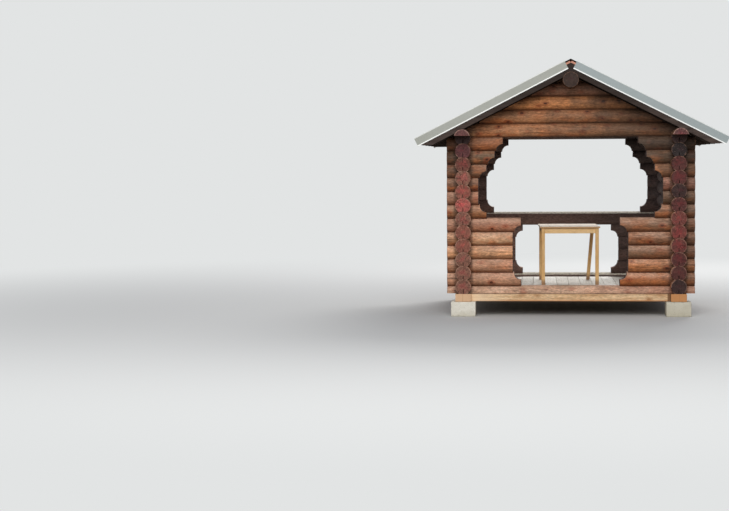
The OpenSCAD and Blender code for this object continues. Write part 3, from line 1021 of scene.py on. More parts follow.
@dataclass(frozen=True)
class MetalFinish:
    """Satin paint on sheet metal, with dust where it lies flat and a painted highlight on folded edges."""

    name: str
    face: Rgb
    dust: Rgb
    roughness: float = 0.42
    gloss: float = 0.5
    metallic: float = 0.0
    edges: FoldedEdges | None = None
    dust_scale: float = 3.0
    dust_lies: Span = (0.3, 0.9, 0.35)
    dust_least: float = 0.12
    dust_fine: float = 0.08
    dust_roughness: float = 0.16
    depth: float = 0.0004

    def material(self) -> Material:
        """Makes the finish.

        Returns:
            The material.
        """
        nodes = MaterialNodes(self.name)
        dust = nodes.group(EFFECTS.dust, Point=nodes.place(), Scale=self.dust_scale)
        lies = nodes.ease(nodes.facing()["Z"], *self.dust_lies) + self.dust_least
        colour = nodes.coats(self.face, (dust["Coarse"] * lies, self.dust), (dust["Fine"] * self.dust_fine, self.dust))
        if self.edges:
            colour = nodes.mix(self.edges.share(nodes, dust["Fine"]), colour, self.edges.bare)
        return nodes.finish(dust["Coarse"], self.depth, Base_Color=colour, Metallic=self.metallic,
                            Roughness=dust["Coarse"] * self.dust_roughness + self.roughness,
                            Specular_IOR_Level=self.gloss)


@dataclass(frozen=True)
class ConcreteFinish:
    """Cast concrete: pale, with pores, darker moist patches, darker towards the foot, and painted shade towards the
    right.
    """

    face: Rgb = (240, 235, 222)
    damp: Rgb = (186, 178, 154)
    pore: Rgb = (120, 118, 110)
    roughness: float = 0.85
    # Painted shade towards the right-hand blocks.
    damp_right: Span = (0.0, 1.2, 0.6)
    damp_low: Span = (0.09, 0.0, 0.45)
    damp_share: float = 0.35
    dust_scale: float = 7.0
    pore_scale: float = 70.0
    pore_size: Span = (0.22, 0.10, 1.0)
    pore_share: float = 0.6
    depth: float = 0.0015

    def material(self) -> Material:
        """Makes the finish.

        Returns:
            The material.
        """
        nodes = MaterialNodes("Cast concrete")
        point = nodes.place()
        at = nodes.parts(point)
        dust = nodes.group(EFFECTS.dust, Point=point, Scale=self.dust_scale)
        pores = nodes.ease(nodes.cells(point, self.pore_scale), *self.pore_size)
        damp = (dust["Coarse"] * self.damp_share, nodes.ease(at["X"], *self.damp_right),
                nodes.ease(at["Z"], *self.damp_low))
        colour = nodes.coats(self.face, *((share, self.damp) for share in damp), (pores * self.pore_share, self.pore))
        return nodes.finish(dust["Fine"] - pores, self.depth, Base_Color=colour, Roughness=self.roughness)


class GeometryNodes(Nodes):
    """Nodes of a Geometry Nodes tree that repeats one piece."""

    def __init__(self, name: str, takes: dict[str, object]) -> None:
        """Starts the tree with named inputs, each with its default, and those that every such tree has."""
        super().__init__(bpy.data.node_groups.new(name, "GeometryNodeTree"))
        self.given = self.take({**takes, "Seed": 1, "Place": ORIGIN, "Turn": ORIGIN, "Finish": None})

    def random(self, low: object, high: object) -> Value:
        """A random vector between two, for each point."""
        values = {"Min": low, "Max": high, "Seed": self.given["Seed"]}
        return self.wire("FunctionNodeRandomValue", values, data_type="FLOAT_VECTOR")

    def finish(self, points: Value, piece: Value, turn: Value | None = None, tone: str = "") -> NodeTree:
        """Puts a piece on each point, places the copies, makes them real, and ends the tree.

        Args:
            points: The points.
            piece: What is repeated.
            turn: The copies' rotation.
            tone: Name of the attribute that holds a random tone for each copy, if there is one.

        Returns:
            The tree.
        """
        copies = self.wire("GeometryNodeInstanceOnPoints", {"Points": points, "Instance": piece, "Rotation": turn})
        if tone:
            chance = self.wire("FunctionNodeRandomValue", {"Seed": self.given["Seed"]}, data_type="FLOAT")
            copies = self.wire("GeometryNodeStoreNamedAttribute", {"Geometry": copies, "Name": tone, "Value": chance},
                               data_type="FLOAT", domain="INSTANCE")
        moved = self.wire("GeometryNodeTransform", {
            "Geometry": copies, "Translation": self.given["Place"], "Rotation": self.given["Turn"]})
        real = self.wire("GeometryNodeRealizeInstances", {"Geometry": moved})
        dressed = self.wire("GeometryNodeSetMaterial", {"Geometry": real, "Material": self.given["Finish"]})
        return self.give("NodeSocketGeometry", Geometry=dressed)


class Repeats:
    """Geometry Nodes trees for what repeats, each built once."""

    @cached_property
    def boards(self) -> NodeTree:
        """A row of boards side by side along X, each running along Y, with eased edges and small differences.

        Returns:
            The tree.
        """
        nodes = GeometryNodes("Row of boards", {
            "Count": 10, "Pitch": 0.14, "Width": 0.136, "Length": 2.0, "Thickness": 0.028, "Easing": 0.002,
            "Easing Steps": 2, "Unevenness": 0.0008})
        given = nodes.given
        first = (given["Count"] - 1.0) * (given["Pitch"] * -0.5)
        line = nodes.wire("GeometryNodeMeshLine", {
            "Count": given["Count"], "Start Location": nodes.combine(first, 0.0, 0.0),
            "Offset": nodes.combine(given["Pitch"], 0.0, 0.0)}, mode="OFFSET", count_mode="TOTAL")
        jitter = nodes.random(nodes.combine(0.0, 0.0, given["Unevenness"] * -1.0), ORIGIN)
        points = nodes.wire("GeometryNodeSetPosition", {"Geometry": line, "Offset": jitter})
        outline = nodes.wire("GeometryNodeCurvePrimitiveQuadrilateral", {
            "Width": given["Width"], "Height": given["Thickness"]})
        eased = nodes.wire("GeometryNodeFilletCurve", {
            "Curve": outline, "Count": given["Easing Steps"], "Radius": given["Easing"]}, mode="POLY")
        start, end = (nodes.combine(0.0, given["Length"] * half, 0.0) for half in (-0.5, 0.5))
        path = nodes.wire("GeometryNodeCurvePrimitiveLine", {"Start": start, "End": end})
        board = nodes.wire("GeometryNodeCurveToMesh", {"Curve": path, "Profile Curve": eased, "Fill Caps": True})
        return nodes.finish(points, board, tone=BOARD_TONE)

    @cached_property
    def heads(self) -> NodeTree:
        """A grid of screw or nail heads in the XY plane, with washers where they have them.

        Returns:
            The tree.
        """
        nodes = GeometryNodes("Grid of heads", {
            "Columns": 4, "Rows": 4, "Column Step": 0.3, "Row Step": 0.3, "Sides": 6, "Radius": 0.005,
            "Height": 0.004, "Most Turn": 1.0, "Washers": True, "Washer Sides": 14, "Washer Radius": 0.009,
            "Washer Height": 0.002})
        given = nodes.given
        spans = [(given[count] - 1.0) * given[step] for count, step in (
            ("Columns", "Column Step"), ("Rows", "Row Step"))]
        grid = nodes.wire("GeometryNodeMeshGrid", {
            "Size X": spans[0], "Size Y": spans[1], "Vertices X": given["Columns"], "Vertices Y": given["Rows"]})
        head, washer = (nodes.wire("GeometryNodeMeshCylinder", {
            "Vertices": given[part + "Sides"], "Radius": given[part + "Radius"], "Depth": given[part + "Height"]})
            for part in ("", "Washer "))
        raised = nodes.wire("GeometryNodeTransform", {
            "Geometry": head, "Translation": nodes.combine(0.0, 0.0, given["Height"] * 0.5)})
        both = nodes.add("GeometryNodeJoinGeometry", (raised,))
        nodes.feed(both.inputs[0], washer)
        kind = nodes.wire("GeometryNodeSwitch", {
            "Switch": given["Washers"], "False": raised, "True": Value(nodes, both.outputs[0])}, input_type="GEOMETRY")
        return nodes.finish(grid, kind, turn=nodes.random(ORIGIN, nodes.combine(0.0, 0.0, given["Most Turn"])))


REPEATS = Repeats()


def grown(name: str, tree: NodeTree, **values: object) -> Mesh:
    """Runs a Geometry Nodes tree and keeps its result as a plain mesh.

    Args:
        name: Name of the mesh.
        tree: The tree.
        values: Its inputs by name, with _ for a space.

    Returns:
        The mesh.
    """
    seedling = placed(name + "_seedling", bpy.data.meshes.new(name + "_seedling"))
    modifier = seedling.modifiers.new("Repeats", "NODES")
    modifier.node_group = tree
    sockets = {s.name: s.identifier for s in tree.interface.items_tree if s.in_out == "INPUT"}
    for label, value in values.items():
        modifier[sockets[label.replace("_", " ")]] = value
    graph = bpy.context.evaluated_depsgraph_get()
    graph.update()
    mesh = bpy.data.meshes.new_from_object(seedling.evaluated_get(graph))
    mesh.name = name
    for number in reversed(range(len(mesh.materials))):
        if mesh.materials[number] is None:
            mesh.materials.pop(index=number)
    bpy.data.objects.remove(seedling)
    return mesh


def smooth_by_angle(mesh: Mesh, degrees: float = 15.0) -> None:
    """Shades a mesh smooth, with its edges past an angle kept sharp, so that flat faces stay flat."""
    mesh.shade_smooth()
    mesh.set_sharp_from_angle(angle=math.radians(degrees))


def joined(name: str, meshes: list[Mesh]) -> Mesh:
    """Joins meshes that share one finish, with their attributes.

    Args:
        name: Name of the joined mesh.
        meshes: The meshes, which the joined one takes in.

    Returns:
        The joined mesh.
    """
    objects = [placed(mesh.name, mesh) for mesh in meshes]
    with bpy.context.temp_override(active_object=objects[0], selected_editable_objects=objects):
        bpy.ops.object.join()
    mesh = objects[0].data
    bpy.data.objects.remove(objects[0])
    mesh.name = name
    return mesh


def eased_mesh(node: str, radius: float, segments: int = 2) -> Mesh:
    """Copies a CAD node of flat-sided timbers with its edges rounded.

    Args:
        node: The CAD node.
        radius: Radius of the rounding.
        segments: Faces across the rounding.

    Returns:
        The new mesh.
    """
    shape = bmesh.new()
    shape.from_mesh(frame["nodes"][node].data)
    bmesh.ops.remove_doubles(shape, verts=shape.verts, dist=TINY)
    bmesh.ops.dissolve_limit(shape, angle_limit=FLAT, verts=shape.verts, edges=shape.edges)
    sharp = [e for e in shape.edges if e.is_manifold and e.calc_face_angle(0.0) > SHARP]
    bmesh.ops.bevel(shape, geom=sharp, offset=radius, segments=segments, profile=0.5, affect="EDGES",
                    clamp_overlap=True)
    mesh = bpy.data.meshes.new(node + "_eased")
    shape.to_mesh(mesh)
    shape.free()
    smooth_by_angle(mesh)
    return mesh


class SubAssembly:
    """A part of the pavilion that dresses CAD nodes and adds pieces, and reports each."""

    def dress(self, node: str, material: Material) -> None:
        """Gives a CAD node its finish.

        Args:
            node: The CAD node.
            material: The finish.
        """
        for slot in frame["nodes"][node].material_slots:
            slot.material = material
        LOG.info("dressed %s with %s", node, material.name)

    def add(self, name: str, mesh: Mesh, slot: str, replaced: tuple[str, ...] = (),
            material: Material | None = None) -> None:
        """Adds a piece that rides on the pavilion's one body.

        Args:
            name: The piece's name.
            mesh: Its mesh, in the model's frame.
            slot: Not used.
            replaced: CAD nodes that it stands for.
            material: Its finish, where the mesh has none.
        """
        if material:
            mesh.materials.clear()
            mesh.materials.append(material)
        mesh.name = name
        piece = placed(name, mesh)
        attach(piece, ROOT)
        if replaced:
            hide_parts(*replaced)
        LOG.info("added %s: %d faces", name, len(mesh.polygons))

    def lay(self, name: str, node: str, slot: str, gap: float, **values: object) -> None:
        """Lays a row of boards in the place of a CAD slab.

        Args:
            name: The row's name.
            node: The slab's CAD node.
            slot: A material slot's name, passed on to add, which doesn't use it.
            gap: The gap between two boards.
            values: The row's inputs by name, with _ for a space.
        """
        mesh = grown(name, REPEATS.boards, Width=values["Pitch"] - gap, **values)
        smooth_by_angle(mesh)
        self.add(name, mesh, slot, (node,))

    def ease(self, node: str, radius: float, slot: str, material: Material) -> None:
        """Puts a copy with eased edges and a finish in a CAD node's place."""
        self.add("eased_" + node, eased_mesh(node, radius), slot, (node,), material)


@dataclass
class LogWork(SubAssembly):
    """The log walls, gables, eave logs and ridge log.

    A row of one log has the single pitch, which is more than the pavilion's height. The sills' crowns are pale at the
    front and the rear, partly from rubbing and partly a painted highlight, and rims pale on the left and the right.
    """

    finish: LogFinish = field(default_factory=LogFinish)
    parapet: int = 5
    courses: int = 11
    ridge_level: float = 2.98853
    single: float = 10.0
    sill_worn: Pair = (0.0, 0.66)
    rail_worn: float = 0.72
    rims: Pair = (0.6, 0.4)
    ridge_rim: float = 0.22
    # The edge and gable spans lay painted shade towards the right; the sill span lays a red stain.
    edge_damp: Span = (1.30, 1.52, 0.5)
    sill_damp: Span = (0.1, 1.2, 0.38)
    sill_tone: Rgb = (128, 46, 26)
    gable_damp: Span = (-0.3, 1.4, 0.70)

    def rows(self) -> list[LogRow]:
        """Lists the logs of each node, with the stains that the weather gave them.

        Returns:
            The rows of logs, in the order of their seeds.
        """
        s, e = Stain, EndPaint
        odd_left = (s.SHELL, s.APRICOT, s.ROSE, s.ROSE, s.CHESTNUT, s.COPPER)
        even_left = (s.SHELL, s.SAND, s.GINGER, s.CHESTNUT, s.OLIVE)
        # The right-hand stains and end paints are darker: partly painted shade on the right side.
        odd_right = (s.HONEY, s.CHESTNUT, s.UMBER, s.OLIVE, s.GINGER, s.EBONY)
        even_right = (s.AMBER, s.UMBER, s.UMBER, s.CLAY, s.OLIVE)
        odd_left_ends = (e.COCOA, e.COCOA, e.BRICK, e.CORAL, e.COCOA, e.PLUM)
        even_left_ends = (e.COCOA, e.BRICK, e.COCOA, e.BRICK, e.RUST)
        odd_right_ends = (e.DUSK, e.WINE, e.GARNET, e.WINE, e.WINE, e.SOOT)
        even_right_ends = (e.WINE, e.MAROON, e.GARNET, e.DUSK, e.WINE)
        rows = []

        def cross(node: str, course: int, stains: tuple[Stain, ...], **other: object) -> None:
            """Adds logs of the front or rear wall."""
            rows.append(LogRow(node, Run.ALONG_X, LOGS.half_y, LOGS.front_level(course), stains,
                               (e.COCOA,) * len(odd_left), **other))

        def side(node: str, course: int, stains: tuple[Stain, ...], ends: tuple[EndPaint, ...],
                 **other: object) -> None:
            """Adds logs of a side wall."""
            rows.append(LogRow(node, Run.ALONG_Y, LOGS.half_x, LOGS.side_level(course), stains, ends, **other))

        lintel = self.courses + 1
        gable = {"damp": self.gable_damp, "sheltered": True}
        for wall, worn, inside in zip(("front", "rear"), self.sill_worn, (Inside.ENDS, Inside.REAR)):
            for hand, damp, odd, even in (("left", None, odd_left, even_left),
                                          ("right", self.edge_damp, odd_right, even_right)):
                cross(f"{wall}_{hand}_odd_courses", 1, odd, damp=damp, inside=inside)
                cross(f"{wall}_{hand}_even_courses", 2, even, damp=damp, inside=inside)
            cross(f"{wall}_sill_log", 0, (s.PALE,), pitch=self.single, worn=worn, damp=self.sill_damp,
                  damp_tone=self.sill_tone)
            cross(f"{wall}_lintel_log", lintel, (s.TAWNY,), pitch=self.single, **gable)
            cross(f"{wall}_gable_odd_courses", lintel + 1, (s.TAWNY, s.ROSE), **gable)
            cross(f"{wall}_gable_even_courses", lintel + 2, (s.SAFFRON, s.WALNUT), **gable)
        cross("rear_rail_log", self.parapet, (s.UMBER,), pitch=self.single, worn=self.rail_worn, inside=Inside.REAR)
        for hand, rim, odd_ends, even_ends in zip(("left", "right"), self.rims, (odd_left_ends, odd_right_ends),
                                                  (even_left_ends, even_right_ends)):
            side(f"{hand}_wall_odd_courses", 1, odd_right, odd_ends, rim=rim, inside=Inside.SIDES)
            side(f"{hand}_wall_even_courses", 2, even_left, even_ends, rim=rim, inside=Inside.SIDES)
            side(f"{hand}_eave_log", lintel, (s.CHESTNUT,), (e.ORCHID,), pitch=self.single, half=True)
        rows.append(LogRow("ridge_log", Run.ALONG_Y, 0.0, self.ridge_level, (s.WALNUT,), (e.BARK,),
                           pitch=self.single, rim=self.ridge_rim))
        return rows

    def build(self) -> None:
        """Dresses every log node."""
        for seed, row in enumerate(self.rows(), start=1):
            self.dress(row.node, self.finish.material(row, seed))


@dataclass
class Base(SubAssembly):
    """Foundation blocks, base beams and joists.

    The blocks' faces are cut into cells of a size, and crumbled by a noise of a grit and detail, but not at the foot.
    """

    block_edge: float = 0.009
    block_cell: float = 0.022
    block_wear: float = 0.004
    block_grit: float = 24.0
    block_detail: tuple[float, float, int] = (1.0, 2.0, 4)
    block_foot: float = 0.002
    block_segments: int = 3
    block_smooth: float = 50.0
    beam_edge: float = 0.004
    beam_split: float = LOGS.half_x + 0.012
    # The fade past X 1.222 is painted shade at the joint by the right-hand beam, and the thin dark fade at the top
    # edge a painted shadow under the sill log.
    beam: TimberFinish = TimberFinish(
        "Base beam", face=(234, 196, 150), light=(248, 218, 176), dark=(168, 116, 72), end=(240, 198, 158),
        contrast=0.55, marks=1.4, knots=0.8, fades=(
            Fade("Z", 0.215, 0.190, (206, 140, 84)), Fade("X", -0.7, -1.24, (255, 226, 188), 0.7),
            Fade("X", 1.222, 1.228, (122, 82, 48), 0.9), Fade("Z", 0.280, 0.283, (74, 40, 22), 0.85)))
    fresh_end: Rgb = (208, 144, 88)

    def build(self) -> None:
        """Makes the blocks, beams and joists."""
        self.add("cast_foundation_blocks", self.worn_blocks(), "concrete", ("foundation_blocks",),
                 ConcreteFinish().material())
        across = replace(self.beam, split=self.beam_split)
        fresh = replace(across, end=self.fresh_end)
        for seed, (node, run, finish) in enumerate((
                ("base_beam_left", Run.ALONG_Y, across), ("base_beam_right", Run.ALONG_Y, fresh),
                ("base_beam_front", Run.ALONG_X, self.beam), ("base_beam_rear", Run.ALONG_X, self.beam),
                ("floor_joists", Run.ALONG_X, self.beam)), start=1):
            self.ease(node, self.beam_edge, "base_timber", finish.material(run, seed))

    def worn_blocks(self) -> Mesh:
        """Copies the blocks with rounded, slightly crumbled edges that stay inside the CAD ones.

        Returns:
            The blocks' mesh.
        """
        mesh = eased_mesh("foundation_blocks", self.block_edge, self.block_segments)
        shape = bmesh.new()
        shape.from_mesh(mesh)
        longest = max(e.calc_length() for e in shape.edges)
        bmesh.ops.triangulate(shape, faces=shape.faces)
        while longest > self.block_cell:
            long_edges = [e for e in shape.edges if e.calc_length() > self.block_cell]
            bmesh.ops.subdivide_edges(shape, edges=long_edges, cuts=1)
            bmesh.ops.triangulate(shape, faces=[f for f in shape.faces if len(f.verts) > 3])
            longest *= 0.5
        shape.normal_update()
        for vert in (v for v in shape.verts if v.co.z >= self.block_foot):
            crumbled = noise.fractal(vert.co * self.block_grit, *self.block_detail) * 0.5 + 0.5
            vert.co -= vert.normal * max(0.0, crumbled) * self.block_wear
        shape.to_mesh(mesh)
        shape.free()
        smooth_by_angle(mesh, self.block_smooth)
        return mesh


@dataclass
class Floor(SubAssembly):
    """Floor boards on the joists, with their nails."""

    boards: int = 16
    gap: float = 0.0035
    nail_radius: float = 0.0038
    nail_height: float = 0.0008
    nail_inset: float = 0.034
    nail_sink: float = 0.0002
    nail_sides: int = 10
    nail_seed: int = 9
    board_seed: int = 4
    grain_seed: int = 11
    joists: int = 5
    half_joist: float = 0.025
    # The fade along Y is painted shade: the boards darker and warmer towards the front.
    finish: TimberFinish = TimberFinish(
        "Floor boards", face=(232, 226, 212), light=(244, 240, 230), dark=(176, 164, 146), end=(190, 172, 148),
        roughness=0.5, contrast=0.3, tone=BOARD_TONE, fades=(Fade("Y", 0.0, -1.25, (206, 188, 166), 0.5),))
    nail: MetalFinish = MetalFinish("Nail heads", face=(96, 88, 80), dust=(120, 84, 60), metallic=0.7)

    def build(self) -> None:
        """Makes the boards and nails."""
        low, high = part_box("floor_deck")
        pitch = (high.x - low.x + self.gap) / self.boards
        self.lay("floor_boards", "floor_deck", "floor_boards", self.gap, Count=self.boards, Pitch=pitch,
                 Length=high.y - low.y, Thickness=high.z - low.z, Seed=self.board_seed,
                 Place=tuple((low + high) / 2), Finish=self.finish.material(Run.ALONG_Y, self.grain_seed))
        first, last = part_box("floor_joists")
        step = (last.y - first.y - 2 * self.half_joist) / (self.joists - 1)
        nail = self.nail.material()
        rows = [grown("floor_nails", REPEATS.heads, Columns=self.boards, Rows=self.joists, Column_Step=pitch,
                      Row_Step=step, Sides=self.nail_sides, Radius=self.nail_radius, Height=self.nail_height,
                      Washers=False, Seed=self.nail_seed,
                      Place=(side * self.nail_inset, 0.0, high.z - self.nail_sink), Finish=nail)
                for side in (-1, 1)]
        self.add("floor_nails", joined("floor_nails", rows), "base_timber")


@dataclass
class Roof(SubAssembly):
    """Rafters, roof boards, ribbed sheets with their screws, ridge cap and rake trims."""

    slope: float = LOGS.roof_slope
    under: float = LOGS.roof_under
    board_low: float = 0.120
    board_high: float = 0.145
    boards: int = 14
    gap: float = 0.003
    unevenness: float = 0.0004
    board_end: float = 2.078
    rib_pitch: float = 0.1375
    # The folds give the trims' lip and crest a painted highlight.
    folds: FoldedEdges = FoldedEdges(LOGS.roof_slope, LOGS.roof_under, lip=0.0795, crest=0.168, bare=(252, 252, 248))
    screw_rows: int = 5
    screw_first: float = 0.22
    screw_step: float = 0.44
    screws: int = 13
    screw_seat: float = 0.0022
    board_seed: int = 30
    screw_seed: int = 40
    grain_seed: int = 21
    # The rafters' dark brown is partly their stain and partly painted shade, and their fade, darker higher up, is
    # painted shade under the roof.
    rafter: TimberFinish = TimberFinish(
        "Rafters", face=(76, 64, 59), light=(88, 75, 68), dark=(46, 36, 32), end=(84, 58, 46), contrast=0.4,
        gloss=0.12, fades=(Fade("Z", 2.40, 2.80, (46, 37, 33)),))
    # The boards' undersides are painted near-black: painted shade under the roof.
    board: TimberFinish = TimberFinish(
        "Roof boards", face=(176, 124, 92), light=(204, 150, 112), dark=(106, 64, 44), end=(222, 160, 136),
        below=(44, 31, 26), tone=BOARD_TONE, gloss=0.12)
    sheet: MetalFinish = MetalFinish(
        "Roof sheets", face=(112, 116, 116), dust=(142, 140, 130), roughness=0.48, gloss=0.35)
    cap: MetalFinish = MetalFinish(
        "Ridge cap", face=(108, 112, 112), dust=(142, 140, 130), roughness=0.62, gloss=0.2)
    # The left and right trims are lit and shaded copies of one paint: painted light makes the left warmer, the right
    # cooler and darker.
    warm: MetalFinish = MetalFinish(
        "Rake trims left", face=(160, 162, 154), dust=(176, 174, 162), edges=folds)
    cool: MetalFinish = replace(warm, name="Rake trims right", face=(150, 160, 161), dust=(166, 172, 168))
    screw: MetalFinish = MetalFinish("Roof screws", face=(150, 152, 152), dust=(120, 116, 108), metallic=0.6)

    def at(self, down: float, height: float, side: int) -> Triple:
        """Point of the roof's cross-section.

        Args:
            down: Distance down the slope from the ridge.
            height: Height above the rafters' undersides, square to the slope.
            side: 1 for the right slope, -1 for the left.

        Returns:
            The point at the middle of the roof's length.
        """
        x = down * math.cos(self.slope) + height * math.sin(self.slope)
        z = self.under - down * math.sin(self.slope) + height * math.cos(self.slope)
        return (side * x, 0.0, z)

    def build(self) -> None:
        """Makes the boards and screws, and dresses the rest."""
        plank = self.board.material(Run.ALONG_Y, self.grain_seed)
        rafters = self.rafter.material(Run.ALONG_X, self.grain_seed + 1)
        sheet, screw = self.sheet.material(), self.screw.material()
        self.dress("ridge_cap", self.cap.material())
        for hand, side, trim in (("left", -1, self.warm.material()), ("right", 1, self.cool.material())):
            for node, finish in ((f"{hand}_rafters", rafters), (f"{hand}_roof_sheet", sheet),
                                 (f"front_{hand}_rake_trim", trim), (f"rear_{hand}_rake_trim", trim)):
                self.dress(node, finish)
            self.lay_boards(hand, side, plank)
            self.drive_screws(hand, side, screw)

    def lay_boards(self, hand: str, side: int, finish: Material) -> None:
        """Lays the roof boards of one slope, from the ridge to the eave.

        Args:
            hand: The slope, left or right.
            side: 1 for the right slope, -1 for the left.
            finish: The boards' finish.
        """
        low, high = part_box(f"{hand}_roof_boards")
        start = -self.board_low * math.tan(self.slope)
        pitch = (self.board_end - start + self.gap) / self.boards
        middle = self.at((start + self.board_end) / 2, (self.board_low + self.board_high) / 2, side)
        self.lay(f"{hand}_soffit_boards", f"{hand}_roof_boards", "roof_boards", self.gap, Count=self.boards,
                 Pitch=pitch, Length=high.y - low.y, Thickness=self.board_high - self.board_low,
                 Unevenness=self.unevenness, Seed=self.board_seed + side, Place=middle,
                 Turn=(0.0, side * self.slope, 0.0), Finish=finish)

    def drive_screws(self, hand: str, side: int, finish: Material) -> None:
        """Drives the screws of one roof sheet in the valleys between its ribs.

        Args:
            hand: The slope, left or right.
            side: 1 for the right slope, -1 for the left.
            finish: The screws' finish.
        """
        middle = self.screw_first + self.screw_step * (self.screw_rows - 1) / 2
        mesh = grown(f"{hand}_roof_screws", REPEATS.heads, Columns=self.screw_rows, Rows=self.screws,
                     Column_Step=self.screw_step, Row_Step=2 * self.rib_pitch, Seed=self.screw_seed + side,
                     Place=self.at(middle, self.board_high + self.screw_seat, side),
                     Turn=(0.0, side * self.slope, 0.0), Finish=finish)
        smooth_by_angle(mesh)
        self.add(f"{hand}_roof_screws", mesh, "roof_metal")


@dataclass
class Table(SubAssembly):
    """The table: planked top, boards under it and square legs."""

    planks: int = 6
    gap: float = 0.0006
    easing: float = 0.0016
    unevenness: float = 0.0002
    edge: float = 0.003
    board_seed: int = 5
    grain_seed: int = 31
    turn: float = math.radians(1.5)
    width: float = 0.790
    length: float = 1.150
    middle_y: float = 0.045
    # The top's fade along Y is painted shade, darker towards the front edge.
    top: TimberFinish = TimberFinish(
        "Table top", face=(238, 218, 188), light=(246, 230, 204), dark=(200, 160, 116), end=(192, 150, 106),
        roughness=0.48, gloss=0.22, contrast=0.35, above=(246, 232, 208), tone=BOARD_TONE, depth=0.0005,
        fades=(Fade("Y", 0.45, -0.45, (176, 136, 96), 0.85),))
    # The frame's fade at the foot is a painted shadow where the legs meet the floor.
    frame: TimberFinish = TimberFinish(
        "Table frame", face=(232, 186, 120), light=(240, 202, 140), dark=(176, 120, 66), end=(120, 84, 60),
        roughness=0.36, contrast=0.3, knots=0.3, depth=0.0005,
        fades=(Fade("Z", 0.425, 0.365, (128, 90, 68), 0.75),))
    apron: TimberFinish = replace(frame, face=(246, 206, 144), light=(252, 218, 164), dark=(196, 142, 86))

    def build(self) -> None:
        """Makes the top, the boards under it and the legs."""
        low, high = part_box("table_top")
        pitch = self.width / self.planks
        top, legs, aprons = (finish.material(run, seed, self.turn) for seed, (finish, run) in enumerate((
            (self.top, Run.ALONG_Y), (self.frame, Run.ALONG_Z), (self.apron, Run.ALONG_X)), start=self.grain_seed))
        self.lay("table_planks", "table_top", "table_wood", self.gap, Count=self.planks, Pitch=pitch,
                 Length=self.length, Thickness=high.z - low.z, Easing=self.easing, Unevenness=self.unevenness,
                 Seed=self.board_seed, Place=(0.0, self.middle_y, (low.z + high.z) / 2),
                 Turn=(0.0, 0.0, self.turn), Finish=top)
        self.ease("table_legs", self.edge, "table_wood", legs)
        self.ease("table_aprons", self.edge, "table_wood", aprons)


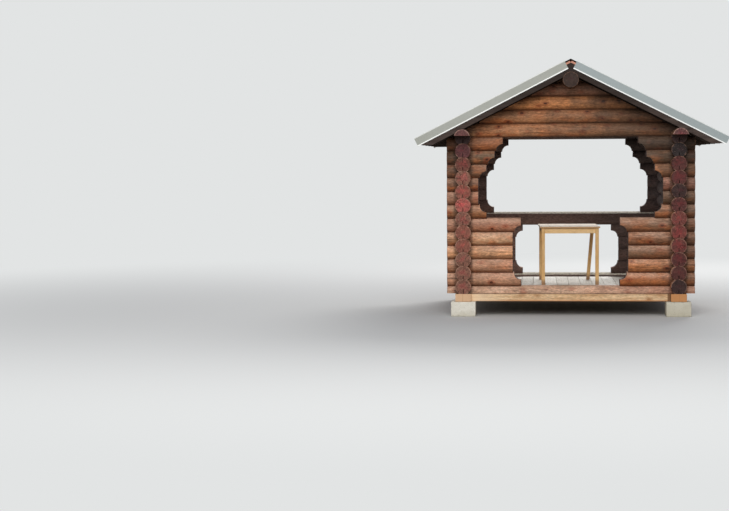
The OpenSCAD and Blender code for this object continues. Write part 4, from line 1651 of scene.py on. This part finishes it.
@dataclass(frozen=True)
class Studio:
    """The plain pale floor, the soft light and the camera.

    The floor and the sky show one tone to the camera and give another to the light. A lamp has a name, a place, a size
    and a power.
    """

    image_width: int = 729
    focal_pixels: float = 1857.6
    sensor: float = 36.0
    place: Triple = (-0.420, -25.206, 2.001)
    yaw: float = math.radians(-5.318)
    pitch: float = math.radians(-2.939)
    roll: float = math.radians(-0.344)
    floor_reach: float = 400.0
    floor_sides: int = 96
    floor_roughness: float = 0.9
    floor: Rgb = (204, 204, 202)
    bounce: Rgb = (160, 158, 148)
    seen: Rgb = (226, 228, 228)
    fade: Pair = (4.5, 14.0)
    sky: Rgb = (244, 247, 255)
    sky_strength: float = 0.42
    aim: Triple = (0.0, 0.0, 1.4)
    lamps: tuple[tuple[str, Triple, float, float], ...] = (
        ("Front light", (-1.2, -16.0, 8.0), 11.0, 1620.0),
        ("Rear light", (3.0, 13.5, 11.5), 10.0, 2400.0))

    def build(self) -> None:
        """Makes the floor, lights and camera."""
        self.lay_floor()
        self.set_sky()
        self.hang_lights()
        self.set_camera()
        bpy.context.scene.view_settings.view_transform = "Standard"

    def lay_floor(self) -> None:
        """Lays the pale floor, which fades into the background far away."""
        shape = bmesh.new()
        bmesh.ops.create_circle(shape, cap_ends=True, segments=self.floor_sides, radius=self.floor_reach)
        mesh = bpy.data.meshes.new("studio_floor")
        shape.to_mesh(mesh)
        shape.free()
        nodes = MaterialNodes("Studio floor")
        at = nodes.parts(nodes.place())
        camera = nodes.wire("ShaderNodeLightPath", output="Is Camera Ray")
        mesh.materials.append(nodes.finish(Base_Color=nodes.mix(camera, self.bounce, self.floor),
                                           Roughness=self.floor_roughness, Specular_IOR_Level=0.0))
        share = nodes.ease(nodes.reach(at["X"], at["Y"]), *self.fade) * camera
        plain = nodes.wire("ShaderNodeEmission", {"Color": self.seen, "Strength": 1.0})
        blend = nodes.wire("ShaderNodeMixShader", (share, Value(nodes, nodes.shader.outputs[0]), plain))
        nodes.feed(nodes.outlet.inputs["Surface"], blend)
        placed("studio_floor", mesh)

    def set_sky(self) -> None:
        """Sets the even sky light, with a pale background."""
        world = bpy.data.worlds.new("Soft sky")
        bpy.context.scene.world = world
        world.use_nodes = True
        nodes = ShaderNodes(world.node_tree)
        nodes.tree.nodes.clear()
        light, seen = (nodes.wire("ShaderNodeBackground", {"Color": colour, "Strength": strength})
                       for colour, strength in ((self.sky, self.sky_strength), (self.seen, 1.0)))
        rays = nodes.outputs(nodes.add("ShaderNodeLightPath"))
        plain = rays["Is Camera Ray"]
        for ray in ("Is Glossy Ray", "Is Transmission Ray"):
            plain = nodes.math("ADD", plain, rays[ray], clamp=True)
        nodes.add("ShaderNodeOutputWorld", {"Surface": nodes.wire("ShaderNodeMixShader", (plain, light, seen))})

    def hang_lights(self) -> None:
        """Hangs the big soft lamps."""
        for name, place, size, power in self.lamps:
            lamp = bpy.data.lights.new(name, "AREA")
            lamp.shape = "DISK"
            lamp.size = size
            lamp.energy = power
            stand = placed(name, lamp)
            stand.location = place
            stand.visible_camera = False
            stand.rotation_euler = (Vector(self.aim) - Vector(place)).to_track_quat("-Z", "Y").to_euler()

    def set_camera(self) -> None:
        """Sets the camera where the picture was taken from."""
        forward = Vector((math.sin(self.yaw) * math.cos(self.pitch), math.cos(self.yaw) * math.cos(self.pitch),
                          math.sin(self.pitch)))
        level = Vector((math.cos(self.yaw), -math.sin(self.yaw), 0.0))
        upright = level.cross(forward)
        right = level * math.cos(self.roll) + upright * math.sin(self.roll)
        up = upright * math.cos(self.roll) - level * math.sin(self.roll)
        lens = bpy.data.cameras.new("Camera")
        lens.sensor_width = self.sensor
        lens.lens = self.focal_pixels / self.image_width * self.sensor
        lens.clip_end = 2 * self.floor_reach
        camera = placed("Camera", lens)
        turn = Matrix((right, up, -forward)).transposed().to_4x4()
        camera.matrix_world = Matrix.Translation(self.place) @ turn
        bpy.context.scene.camera = camera


def main() -> None:
    """Builds the sub-assemblies in order."""
    logging.basicConfig(level=logging.INFO, format="%(name)s: %(message)s")
    for part in (LogWork(), Base(), Floor(), Roof(), Table()):
        part.build()
    Studio().build()


if __name__ == "__main__":
    main()
